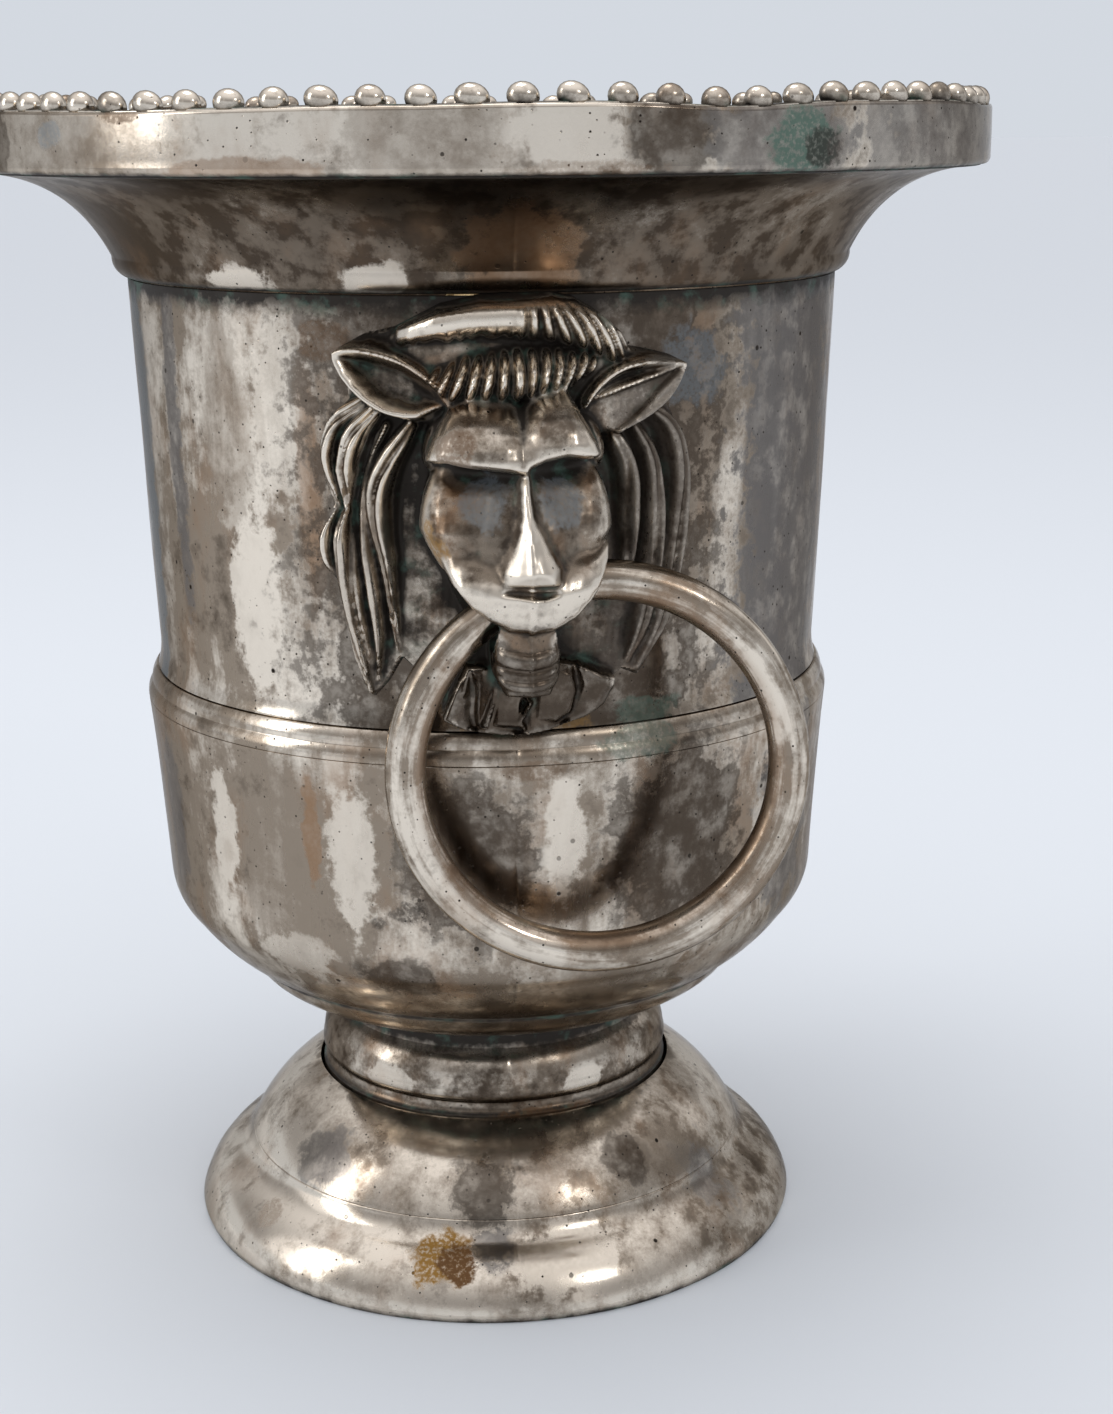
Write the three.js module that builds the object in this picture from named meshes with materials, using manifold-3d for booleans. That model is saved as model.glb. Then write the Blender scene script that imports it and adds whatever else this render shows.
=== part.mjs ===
// Footed champagne cooler of cast and silver-plated metal, with two mask-and-ring handles.
// Millimetres, +Z up. The origin is the middle of the face that the foot stands on, and the
// front mask looks along -Y.

import * as THREE from 'three';
import { mergeVertices } from 'three/addons/utils/BufferGeometryUtils.js';
import Module from 'manifold-3d';

const wasm = await Module();
wasm.setup();

// Clearance between pieces that seat on each other, and between a shank and its hole
const fitGap = 0.3;

// Facets of the turned shells and of the smaller turned pieces, and how far an arc may stand off
// its chords
const facets = 36;
const smallFacets = 12;
const beadFacets = 6;
const ringFacets = 32;
const wireFacets = 8;
const arcTolerance = 0.2;

// Stem: a turned collar with a lower roll and a neck, clamped between bell and cup
const stemHeight = 24.5;
const stemNeckRadius = 34.2;
const stemWall = 5.2;
const stemFlangeReach = 4.8;
const stemRollReach = 3.6;
const stemRollRounding = 0.7;
const stemRollHeight = 4.6;
const stemHollowHeight = 5.5;
const stemHollowDepth = 2.1;
const stemShoulderHeight = 7.4;
const stemShoulderBulge = 0.9;
const stemTopReach = 1.4;
const stemTopHollow = 0.8;

// Foot bell: a domed shell with a flat seat under the stem
const bellHeight = 11.2;
const stemSeatMargin = 0.5;
const seatRounding = 6.5;
const seatDrop = 0.6;
const seatBulge = 0.8;
const bellSpread = 8.2;
const bellBulge = 0.5;
const footWall = 2.6;
const footUndersideHollow = 0.8;

// Foot base ring: a low roll that stands on the table, and the cove above it
const rollHeight = 12.2;
const rollSpread = 8.2;
const rollBulge = 1.3;
const rollWidestLift = 1.8;
const rollUndercut = 0.5;
const coveHeight = 4.5;
const coveSpread = 3.8;
const coveHollow = 0.5;
const standingEdge = 3.6;

// Drum: the upright wall that carries the masks, narrowest just above the waist
const bodyRadius = 69;
const drumHeight = 79.9;
const drumWall = 2.4;
const drumFootSpread = 0.8;
const drumFootHeight = 6;
const drumFootHollow = 0.25;
const drumTopSpread = 3.1;
const drumSwell = 0.15;

// Waist moulding: two rounds with a fine groove between them
const waistHeight = 5.8;
const waistSeatMargin = 0.3;
const waistWall = 3;
const lowerRoundHeight = 2.9;
const lowerRoundBulge = 0.35;
const upperRoundBulge = 0.45;
const waistGroove = 0.3;
const waistStep = 0.9;

// Lower cup: flat bottom, underside bead, knee, and a wall that swells to the waist
const cupHeight = 64.4;
const cupStep = 1.1;
const cupWall = 2.4;
const cupFloor = 3;
const cupSwell = 2.9;
const cupWallFoot = 27.2;
const cupWallHollow = 0.2;
const kneeHeight = 18.2;
const kneeInset = 3.7;
const kneeBulge = 0.9;
const underBeadHeight = 6.9;
const underBeadInset = 11.7;
const underBeadBulge = 1.5;
const underBeadGroove = 0.5;
const cupSideBulge = 0.8;
const cupFlatInset = 10.3;
const bowlCornerIn = 1.8;
const bowlCornerUp = 1.2;
const bowlBulge = 1.9;

// Mouth flare: an overhanging lower lip and a concave sweep out to the rim
const flareHeight = 20.4;
const flareWall = 2.3;
const flareReach = 28.2;
const flareHollow = 4.6;
const lipHeight = 3.9;
const lipReach = 2.9;
const lipFootReach = 0.7;
const lipBulge = 0.7;
const lipRise = 1.3;
const flareSeatHeight = 2;

// Rim band: upright outside, turned in at the top as a ledge for the beads
const bandHeight = 11;
const bandWall = 1.7;
const bandFootRounding = 1.6;
const bandFootInset = 1;
const bandFootBulge = 0.3;
const bandTopChamfer = 0.6;
const rimLedge = 4.1;
const rimLedgeThickness = 2;

// Bead border: round beads on a thin strip
const beadRadius = 2.4;
const beadHeight = 4.2;
const beadShoulderRadius = 2.06;
const beadShoulderDrop = 1.3;
const beadPitch = 8.25;
const beadStripThickness = 0.9;
const beadStripMargin = 0.3;

// Foot bolt, its seal, washer and nut
const boltRadius = 4;
const boltHeadRadius = 9;
const boltHeadHeight = 4;
const boltHeadEdge = 1;
const boltHeadBulge = 1;
const boltTail = 3.2;
const sealRadius = 13;
const sealThickness = 1.5;
const footWasherRadius = 18;
const footWasherThickness = 2.4;
const footNutAcrossFlats = 13;
const footNutHeight = 6.5;

// Ring handle: wire size, ring size, and how the front ring sits round and up in its eye
const wireRadius = 3.8;
const ringRadius = 35.2;
const frontRingTurn = THREE.MathUtils.degToRad(23.8);
const frontRingRise = 1.6;
const backRingTurn = 0;

// Handle mask: its plate, and the eye behind its chin that the ring passes through
const maskWidth = 67;
const maskPlate = 2.4;
const eyeLift = 25.4;
const eyeReach = 11;
const eyePlay = 4.9;
const eyeLength = 44;
const eyeWall = 1.6;
const collarHalfWidth = 7.8;
const ringSeatGap = 0.8;

// Mask studs with a washer and a nut inside the drum
const studRadius = 2.4;
const studTail = 2;
const upperStudDrop = 13.3;
const upperStudDepth = 5;
const lowerStudDepth = 2.6;
const washerRadius = 5.4;
const washerThickness = 1.2;
const washerMargin = 0.8;
const nutAcrossFlats = 8;
const nutHeight = 4;

// Levels, worked out from the foot up
const baseRingTop = rollHeight + coveHeight;
const bellBottom = baseRingTop + fitGap;
const stemSeatLevel = bellBottom + bellHeight;
const stemBottom = stemSeatLevel + fitGap;
const stemTop = stemBottom + stemHeight;
const cupBottom = stemTop + fitGap;
const cupTop = cupBottom + cupHeight;
const cupFloorLevel = cupBottom + cupFloor;
const waistBottom = cupTop + fitGap;
const waistTop = waistBottom + waistHeight;
const drumBottom = waistTop + fitGap;
const drumTop = drumBottom + drumHeight;
const flareBottom = drumTop + fitGap;
const flareTop = flareBottom + flareHeight;
const bandBottom = flareTop + fitGap;
const bandTop = bandBottom + bandHeight;
const beadBottom = bandTop + fitGap;

// Radii, worked out from the stem's neck for the foot and from the drum for the body
const stemFlangeRadius = stemNeckRadius + stemFlangeReach;
const stemSeatRadius = stemFlangeRadius + stemSeatMargin;
const bellShoulderRadius = stemSeatRadius + seatRounding;
const bellFootRadius = bellShoulderRadius + bellSpread;
const rollTopRadius = bellFootRadius + coveSpread;
const baseRollRadius = rollTopRadius + rollSpread;
const drumFootRadius = bodyRadius + drumFootSpread;
const drumTopRadius = bodyRadius + drumTopSpread;
const waistTopRadius = drumFootRadius + waistSeatMargin;
const waistStepRadius = waistTopRadius + waistStep;
const cupTopRadius = waistStepRadius + cupStep;
const cupWallFootRadius = cupTopRadius - cupSwell;
const kneeRadius = cupWallFootRadius - kneeInset;
const underBeadRadius = kneeRadius - underBeadInset;
const cupFlatRadius = underBeadRadius - cupFlatInset;
const flareTopRadius = drumTopRadius + flareReach;
const bandInnerRadius = flareTopRadius + fitGap;
const rimRadius = bandInnerRadius + bandWall;

const boltHoleRadius = boltRadius + fitGap;
const studHoleRadius = studRadius + fitGap;
const maskBottom = drumBottom + fitGap;
const maskHeight = drumHeight - 2 * fitGap;
const eyeHeight = maskBottom + eyeLift;
const eyeRadius = bodyRadius + eyeReach;
const eyeChannelRadius = wireRadius + eyePlay;
const upperStudLift = maskHeight - upperStudDrop;
const lowerStudLift = washerRadius + washerMargin;

// The back ring hangs on the collar that forms the floor of its eye
const ringSag = collarHalfWidth ** 2 / (2 * (ringRadius - wireRadius));
const backRingRise = ringSag + ringSeatGap - eyePlay;

const plated = { color: 0x9d958b, metalness: 1, roughness: 0.34 };
const tarnished = { color: 0x6f665c, metalness: 1, roughness: 0.5 };
const brass = { color: 0xa58a58, metalness: 1, roughness: 0.4 };
const rubber = { color: 0x2b2927, metalness: 0, roughness: 0.85 };

// Points of a shallow arc from one (radius, height) to another, without its last point.
// A positive bulge lies to the right of the way travelled, which is out of the material when a
// section is followed up its outside and down its inside.
function bow([r0, z0], [r1, z1], bulge) {
  const length = Math.hypot(r1 - r0, z1 - z0);
  const steps = Math.max(2, Math.ceil(Math.sqrt(Math.abs(bulge) / arcTolerance)));
  const points = [];
  for (let i = 0; i < steps; i += 1) {
    const t = i / steps;
    const offset = 4 * bulge * t * (1 - t);
    const r = r0 + (r1 - r0) * t + (offset * (z1 - z0)) / length;
    const z = z0 + (z1 - z0) * t - (offset * (r1 - r0)) / length;
    points.push([r, z]);
  }
  return points;
}

// Six times the volume inside a mesh, negative when its faces point inwards
function signedVolume(positions, triangles) {
  const [a, b, c] = [new THREE.Vector3(), new THREE.Vector3(), new THREE.Vector3()];
  let sum = 0;
  for (let i = 0; i < triangles.length; i += 3) {
    a.fromArray(positions, 3 * triangles[i]);
    b.fromArray(positions, 3 * triangles[i + 1]);
    c.fromArray(positions, 3 * triangles[i + 2]);
    sum += a.dot(b.cross(c));
  }
  return sum;
}

// A closed geometry as a solid: shared points merged, flat triangles left out, faces outwards
function solid(geometry) {
  const bare = geometry.clone();
  bare.deleteAttribute('normal');
  bare.deleteAttribute('uv');
  const merged = mergeVertices(bare, 1e-4);
  const positions = merged.attributes.position.array;
  const index = merged.index.array;
  const triangles = [];
  for (let i = 0; i < index.length; i += 3) {
    const [p, q, r] = [index[i], index[i + 1], index[i + 2]];
    if (p !== q && q !== r && r !== p) triangles.push(p, q, r);
  }
  if (signedVolume(positions, triangles) < 0) triangles.reverse();
  const mesh = { numProp: 3, vertProperties: positions, triVerts: new Uint32Array(triangles) };
  return new wasm.Manifold(new wasm.Mesh(mesh));
}

// A section of (radius, height) points turned about the vertical axis
function turned(section, count = facets) {
  const points = section.map(([r, z]) => new THREE.Vector2(r, z));
  if (section[0][0] > 0) points.push(points[0].clone());
  return solid(new THREE.LatheGeometry(points, count).rotateX(Math.PI / 2));
}

// A flat washer on the vertical axis
function washer(outer, inner, bottom, thickness) {
  const top = bottom + thickness;
  return turned([[inner, bottom], [outer, bottom], [outer, top], [inner, top]], smallFacets);
}

// A hexagonal nut with a plain bore, on the vertical axis
function hexNut(acrossFlats, height, boreRadius, bottom) {
  const cornerRadius = acrossFlats / Math.sqrt(3);
  const body = new THREE.CylinderGeometry(cornerRadius, cornerRadius, height, 6);
  const bore = new THREE.CylinderGeometry(boreRadius, boreRadius, 2 * height, smallFacets);
  const middle = bottom + height / 2;
  const blank = solid(body.rotateX(Math.PI / 2).translate(0, 0, middle));
  return blank.subtract(solid(bore.rotateX(Math.PI / 2).translate(0, 0, middle)));
}

// A round bar along Y from one distance to another, at a given height
function barAlongY(radius, from, to, height) {
  const bar = new THREE.CylinderGeometry(radius, radius, Math.abs(to - from), smallFacets);
  return solid(bar.translate(0, (from + to) / 2, height));
}

// A named mesh with its own material, made from a solid
function piece(name, body, finish) {
  const { vertProperties, triVerts } = body.getMesh();
  const geometry = new THREE.BufferGeometry();
  geometry.setAttribute('position', new THREE.BufferAttribute(vertProperties, 3));
  geometry.setIndex(new THREE.BufferAttribute(triVerts, 1));
  const flat = geometry.toNonIndexed();
  flat.computeVertexNormals();
  const mesh = new THREE.Mesh(flat, new THREE.MeshStandardMaterial(finish));
  mesh.name = name;
  return mesh;
}

// Foot base ring: the roll that stands on the table, with the cove that leads up to the bell
function footBaseRing() {
  const foot = [baseRollRadius - rollUndercut, 0];
  const rollTop = [rollTopRadius, rollHeight];
  const coveTop = [bellFootRadius, baseRingTop];
  const innerTop = [bellFootRadius - footWall, baseRingTop];
  const innerFoot = [baseRollRadius - rollUndercut - standingEdge, 0];
  return turned([
    foot,
    ...bow([baseRollRadius, rollWidestLift], rollTop, rollBulge),
    ...bow(rollTop, coveTop, -coveHollow),
    coveTop,
    ...bow(innerTop, innerFoot, -footUndersideHollow),
    innerFoot,
  ]);
}

// Foot bell: a domed shell with a flat seat for the stem and a hole for the bolt
function footBell() {
  const foot = [bellFootRadius, bellBottom];
  const shoulder = [bellShoulderRadius, stemSeatLevel - seatDrop];
  const seat = [stemSeatRadius, stemSeatLevel];
  const innerSeat = [stemSeatRadius - stemSeatMargin, stemSeatLevel - footWall];
  const innerFoot = [bellFootRadius - footWall, bellBottom];
  return turned([
    ...bow(foot, shoulder, bellBulge),
    ...bow(shoulder, seat, seatBulge),
    seat,
    [boltHoleRadius, stemSeatLevel],
    [boltHoleRadius, stemSeatLevel - footWall],
    ...bow(innerSeat, innerFoot, -footUndersideHollow),
    innerFoot,
  ]);
}

// Stem collar: flange, hollow, lower roll, shoulder and neck, bored right through
function stemCollar() {
  const flange = [stemFlangeRadius, stemBottom];
  const rollFoot = [stemNeckRadius + stemRollReach - stemRollRounding, stemBottom + stemHollowHeight];
  const rollTop = [stemNeckRadius + stemRollReach, stemBottom + stemHollowHeight + stemRollHeight];
  const neck = [stemNeckRadius, rollTop[1] + stemShoulderHeight];
  const top = [stemNeckRadius + stemTopReach, stemTop];
  const boreRadius = stemNeckRadius - stemWall;
  return turned([
    ...bow(flange, rollFoot, -stemHollowDepth),
    ...bow(rollFoot, rollTop, stemRollRounding),
    ...bow(rollTop, neck, stemShoulderBulge),
    ...bow(neck, top, -stemTopHollow),
    top,
    [boreRadius, stemTop],
    [boreRadius, stemBottom],
  ]);
}

// Lower cup: one shell from the bolt hole out over the underside bead and knee to the waist
function lowerCup() {
  const beadTop = [underBeadRadius, cupBottom + underBeadHeight];
  const sideFoot = [underBeadRadius + underBeadGroove, beadTop[1] + underBeadGroove];
  const knee = [kneeRadius, cupBottom + kneeHeight];
  const wallFoot = [cupWallFootRadius, cupBottom + cupWallFoot];
  const top = [cupTopRadius, cupTop];
  const innerTop = [cupTopRadius - cupWall, cupTop];
  const innerWallFoot = [cupWallFootRadius - cupWall, cupBottom + cupWallFoot];
  const innerBowlFoot = [underBeadRadius - bowlCornerIn, beadTop[1] + bowlCornerUp];
  return turned([
    [boltHoleRadius, cupBottom],
    ...bow([cupFlatRadius, cupBottom], beadTop, underBeadBulge),
    beadTop,
    ...bow(sideFoot, knee, cupSideBulge),
    ...bow(knee, wallFoot, kneeBulge),
    ...bow(wallFoot, top, -cupWallHollow),
    top,
    innerTop,
    ...bow(innerWallFoot, innerBowlFoot, -bowlBulge),
    innerBowlFoot,
    [cupFlatRadius, cupFloorLevel],
    [boltHoleRadius, cupFloorLevel],
  ]);
}

// Waist moulding: a lower round, a fine groove and an upper round
function waistMoulding() {
  const innerRadius = waistTopRadius - waistWall;
  const step = [waistStepRadius, waistBottom + lowerRoundHeight];
  const groove = [waistStepRadius - waistGroove, step[1] + waistGroove];
  const top = [waistTopRadius, waistTop];
  return turned([
    [innerRadius, waistBottom],
    ...bow([cupTopRadius, waistBottom], step, lowerRoundBulge),
    step,
    ...bow(groove, top, upperRoundBulge),
    top,
    [innerRadius, waistTop],
  ]);
}

// The drum's outer wall as (radius, height) points, moved out by a clearance
function drumOutside(clearance) {
  const foot = [drumFootRadius + clearance, drumBottom];
  const narrows = [bodyRadius + clearance, drumBottom + drumFootHeight];
  const top = [drumTopRadius + clearance, drumTop];
  return [...bow(foot, narrows, -drumFootHollow), ...bow(narrows, top, drumSwell), top];
}

// The drum's inner wall, from the bottom up
const drumInside = [
  [drumFootRadius - drumWall, drumBottom],
  [bodyRadius - drumWall, drumBottom + drumFootHeight],
  [drumTopRadius - drumWall, drumTop],
];

// Radius at a height of a wall given as points from the bottom up
function radiusAt(wall, height) {
  const above = wall.findIndex(([, z]) => z >= height);
  const end = above < 0 ? wall.length - 1 : Math.max(above, 1);
  const [r1, z1] = wall[end];
  const [r0, z0] = wall[end - 1];
  return r0 + ((r1 - r0) * (height - z0)) / (z1 - z0);
}

// Drum with the four holes for the mask studs
function drum() {
  const shell = turned([...drumOutside(0), ...drumInside.toReversed()]);
  const upperHoles = barAlongY(studHoleRadius, -rimRadius, rimRadius, maskBottom + upperStudLift);
  const lowerHoles = barAlongY(studHoleRadius, -rimRadius, rimRadius, maskBottom + lowerStudLift);
  return shell.subtract(upperHoles).subtract(lowerHoles);
}

// Mouth flare: its lower lip overhangs the drum, and its edge stands inside the rim band
function mouthFlare() {
  const lipFoot = [drumTopRadius + lipFootReach, flareBottom];
  const lipTop = [drumTopRadius + lipReach, flareBottom + lipHeight];
  const edge = [flareTopRadius, flareTop];
  const innerEdge = [flareTopRadius, flareTop + flareWall];
  const innerLip = [lipTop[0] - flareWall, lipTop[1] + lipRise];
  const seatRadius = drumTopRadius - drumWall;
  return turned([
    ...bow(lipFoot, lipTop, lipBulge),
    ...bow(lipTop, edge, -flareHollow),
    edge,
    ...bow(innerEdge, innerLip, flareHollow),
    innerLip,
    [seatRadius, flareBottom + flareSeatHeight],
    [seatRadius, flareBottom],
  ]);
}

// Rim band: upright outside with a rounded foot, turned in at the top as a ledge for the beads
function rimBand() {
  const ledgeRadius = bandInnerRadius - rimLedge;
  const roundingTop = [rimRadius, bandBottom + bandFootRounding];
  return turned([
    [bandInnerRadius, bandBottom],
    ...bow([rimRadius - bandFootInset, bandBottom], roundingTop, bandFootBulge),
    roundingTop,
    [rimRadius, bandTop - bandTopChamfer],
    [rimRadius - bandTopChamfer, bandTop],
    [ledgeRadius, bandTop],
    [ledgeRadius, bandTop - rimLedgeThickness],
    [bandInnerRadius, bandTop - rimLedgeThickness],
  ]);
}

// Bead border: a thin strip on the ledge with one row of round beads fused to it
function beadBorder() {
  const outer = rimRadius - beadStripMargin;
  const inner = bandInnerRadius - rimLedge + beadStripMargin;
  const top = beadBottom + beadStripThickness;
  const rowRadius = outer - beadRadius;
  const count = Math.round((2 * Math.PI * rowRadius) / beadPitch);
  const root = beadBottom + beadStripThickness / 2;
  const crown = beadBottom + beadHeight;
  const shoulder = [beadShoulderRadius, crown - beadShoulderDrop];
  const bead = turned([[0, root], [beadRadius, root], shoulder, [0, crown]], beadFacets);
  let border = turned([[inner, beadBottom], [outer, beadBottom], [outer, top], [inner, top]]);
  for (let i = 0; i < count; i += 1) {
    const angle = (2 * Math.PI * i) / count;
    border = border.add(bead.translate([rowRadius * Math.cos(angle), rowRadius * Math.sin(angle), 0]));
  }
  return border;
}

// Foot bolt: domed head on its seal inside the cup, shank down through stem, bell, washer and nut
const sealBottom = cupFloorLevel + fitGap;
const boltHeadLevel = sealBottom + sealThickness + fitGap;
const footWasherBottom = stemSeatLevel - footWall - fitGap - footWasherThickness;
const footNutBottom = footWasherBottom - fitGap - footNutHeight;

function footBolt() {
  const tail = footNutBottom - boltTail;
  const crown = [0, boltHeadLevel + boltHeadHeight];
  return turned([
    [0, tail],
    [boltRadius, tail],
    [boltRadius, boltHeadLevel],
    [boltHeadRadius, boltHeadLevel],
    ...bow([boltHeadRadius, boltHeadLevel + boltHeadEdge], crown, boltHeadBulge),
    crown,
  ], smallFacets);
}

// The mask's relief is laid out flat, as across, up and lift, for a mask of this width and height,
// and then laid round the drum.
const layoutWidth = 67;
const layoutHeight = 79.3;
const bridgeLift = eyeReach + eyeChannelRadius + eyeWall;

// Lobes: across, up, half width, half height, lift, and fullness (small is flat-topped)
const middleLobes = {
  bust: [0, 4, 15.5, 10, 6.5, 0.3],
  neck: [0, 19, 6.8, 10.5, bridgeLift - 0.4, 0.1],
  collar: [0, 15.5, collarHalfWidth, 3.2, bridgeLift, 0.12],
  chin: [0, 29.5, 9.4, 8, bridgeLift + 0.6, 0.22],
  cheeks: [0, 43, 15, 20, 16.5, 0.35],
  crown: [0, 67.5, 25, 11.5, 9, 0.5],
  hairRoll: [0, 72.5, 21, 6.2, 13.5, 0.35],
};
const pairedLobes = {
  brow: [6.4, 56, 7.4, 6.2, 20.5, 0.22],
  temple: [11.8, 51, 4.4, 9, 15, 0.3],
  innerLock: [21.8, 37, 3.8, 21, 6.4, 0.35],
  outerLock: [28.6, 34, 3.9, 24, 7.2, 0.35],
};
const fringeTooth = [0, 64.8, 2.1, 5.4, 17.5, 0.3];
const fringeTeeth = 7;
const fringePitch = 3.7;
const lobeFacets = 12;
const lobeRings = [1, 0.94, 0.72, 0];
const lobeRoot = 3;

// Leaf-shaped ear with a hollow along it
const earMiddle = [19.5, 64.5];
const earHalfLength = 11.5;
const earHalfWidth = 5.2;
const earLean = THREE.MathUtils.degToRad(28);
const earLift = 10;
const earHollowShare = 0.6;
const earHollowFloor = 5;
const earFullness = 0.25;

// Wedge nose: from a narrow bridge to a broad tip that overhangs the mouth
const noseTop = 51;
const noseTip = 32.5;
const noseUnderside = 31.5;
const noseBridgeLift = 17;
const noseTipLift = 25;
const noseBridgeHalfWidth = 1.7;
const noseTipHalfWidth = 5;
const noseTopNarrowing = 0.45;

// The mask's outline seen from the front, right half from crown to bust
const maskOutline = [
  [0, 79.3], [9, 78.6], [17, 76], [22.5, 72], [29.6, 71], [29.6, 66], [31.5, 58], [33.5, 50],
  [33, 34], [30, 20], [26, 8.5], [22, 9], [19.5, 16], [14, 12], [15.5, 4], [8.5, 1], [0, 0],
];

// Relief of across, up and lift, laid round the drum. Mirrored puts it on the left.
function onDrum(geometry, mirrored = false) {
  const points = geometry.attributes.position;
  const acrossScale = (maskWidth / layoutWidth) * (mirrored ? -1 : 1);
  const upScale = maskHeight / layoutHeight;
  for (let i = 0; i < points.count; i += 1) {
    const angle = (points.getX(i) * acrossScale) / bodyRadius;
    const height = maskBottom + points.getY(i) * upScale;
    const radius = radiusAt(drumOutside(0), height) + points.getZ(i);
    points.setXYZ(i, radius * Math.sin(angle), -radius * Math.cos(angle), height);
  }
  return solid(geometry);
}

// A dome of unit radius over across and up, rising from a floor to a lift
function dome(floor, lift, fullness) {
  const profile = [new THREE.Vector2(0, floor), new THREE.Vector2(1, floor)];
  const foot = Math.max(floor, 0);
  for (const reach of lobeRings) {
    profile.push(new THREE.Vector2(reach, foot + (lift - foot) * (1 - reach ** 2) ** fullness));
  }
  return new THREE.LatheGeometry(profile, lobeFacets).rotateX(Math.PI / 2);
}

function lobe([across, up, halfWidth, halfHeight, lift, fullness], mirrored = false) {
  const shape = dome(-lobeRoot, lift, fullness).scale(halfWidth, halfHeight, 1);
  return onDrum(shape.translate(across, up, 0), mirrored);
}

// A leaf from a dome: round at its root and pointed at its tip
function leaf(shape, size) {
  const points = shape.attributes.position;
  for (let i = 0; i < points.count; i += 1) {
    points.setY(i, points.getY(i) * Math.sqrt(Math.max(0, 1 - points.getX(i))));
  }
  shape.scale(size * earHalfLength, size * earHalfWidth, 1).rotateZ(earLean);
  return shape.translate(...earMiddle, 0);
}

function ear(mirrored) {
  const shell = onDrum(leaf(dome(-lobeRoot, earLift, earFullness), 1), mirrored);
  const hollow = onDrum(leaf(dome(earHollowFloor, 2 * earLift, earFullness), earHollowShare), mirrored);
  return shell.subtract(hollow);
}

function nose() {
  const side = [
    [noseTop, -lobeRoot], [noseTop, noseBridgeLift], [noseTip, noseTipLift], [noseUnderside, noseBridgeLift],
    [noseUnderside, -lobeRoot],
  ];
  const profile = new THREE.Shape(side.map(([up, lift]) => new THREE.Vector2(up, lift)));
  const wedge = new THREE.ExtrudeGeometry(profile, { depth: 2, bevelEnabled: false }).translate(0, 0, -1);
  const points = wedge.attributes.position;
  for (let i = 0; i < points.count; i += 1) {
    const [up, lift] = [points.getX(i), points.getY(i)];
    const down = (noseTop - up) / (noseTop - noseTip);
    const halfWidth = THREE.MathUtils.lerp(noseBridgeHalfWidth, noseTipHalfWidth, down);
    const narrowing = 1 - (noseTopNarrowing * Math.max(lift, 0)) / noseTipLift;
    points.setXYZ(i, points.getZ(i) * halfWidth * narrowing, up, lift);
  }
  return onDrum(wedge);
}

// Cast mask: a plate cut to the outline with the relief on it, fitted to the drum's wall, with
// the eye behind the chin and two blind holes for the studs
function handleMask() {
  const left = maskOutline.slice(1, -1).reverse().map(([across, up]) => [-across, up]);
  const corners = [...maskOutline, ...left].map(([across, up]) => new THREE.Vector2(
    (across * maskWidth) / layoutWidth,
    (up * maskHeight) / layoutHeight,
  ));
  const slab = new THREE.ExtrudeGeometry(new THREE.Shape(corners), { depth: rimRadius, bevelEnabled: false });
  const outline = solid(slab.rotateX(Math.PI / 2).translate(0, 0, maskBottom));

  let body = turned([...drumOutside(0), ...drumOutside(maskPlate).reverse()]).intersect(outline);
  const reliefs = Object.values(middleLobes).map((shape) => lobe(shape));
  for (const mirrored of [false, true]) {
    reliefs.push(...Object.values(pairedLobes).map((shape) => lobe(shape, mirrored)), ear(mirrored));
  }
  for (let tooth = 0; tooth < fringeTeeth; tooth += 1) {
    const across = (tooth - (fringeTeeth - 1) / 2) * fringePitch;
    reliefs.push(lobe([across, ...fringeTooth.slice(1)]));
  }
  for (const relief of [...reliefs, nose()]) body = body.add(relief.intersect(outline));

  const wall = drumOutside(fitGap);
  const [coreFoot, coreTop] = [[wall[0][0], waistBottom], [wall.at(-1)[0], flareTop]];
  const core = turned([[0, waistBottom], coreFoot, ...wall, coreTop, [0, flareTop]]);
  const channel = new THREE.CylinderGeometry(eyeChannelRadius, eyeChannelRadius, eyeLength, smallFacets);
  const eye = solid(channel.rotateZ(Math.PI / 2).translate(0, -eyeRadius, eyeHeight));
  const upperSeat = drumTopRadius + upperStudDepth + fitGap;
  const lowerSeat = bodyRadius + lowerStudDepth + fitGap;
  const upperHole = barAlongY(studHoleRadius, 0, -upperSeat, maskBottom + upperStudLift);
  const lowerHole = barAlongY(studHoleRadius, 0, -lowerSeat, maskBottom + lowerStudLift);
  return body.subtract(core).subtract(eye).subtract(upperHole).subtract(lowerHole);
}

// Ring handle: a plain wire ring in an upright plane, turned round in its eye by an angle
function ringHandle(turn, rise) {
  const ring = new THREE.TorusGeometry(ringRadius, wireRadius, wireFacets, ringFacets).rotateX(Math.PI / 2);
  const across = ringRadius * Math.sin(turn);
  const down = ringRadius * Math.cos(turn);
  return solid(ring.translate(across, -eyeRadius, eyeHeight + rise - down));
}

// One mask stud with its washer and nut, from the mask's blind hole to inside the drum
function maskFastener(lift, depth, outsideRadius) {
  const height = maskBottom + lift;
  const inside = Math.min(...[-1, 0, 1].map((k) => radiusAt(drumInside, height + k * washerRadius)));
  const seat = inside - washerRadius ** 2 / (2 * inside) - fitGap;
  const nutFace = seat - washerThickness - fitGap;
  const stud = barAlongY(studRadius, -(nutFace - nutHeight - studTail), -(outsideRadius + depth), height);
  const disc = barAlongY(washerRadius, -(seat - washerThickness), -seat, height);
  const bore = barAlongY(studHoleRadius, -nutFace, -inside, height);
  const nut = hexNut(nutAcrossFlats, nutHeight, studHoleRadius, 0);
  return { stud, washer: disc.subtract(bore), nut, nutAt: [0, -nutFace, height] };
}

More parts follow.
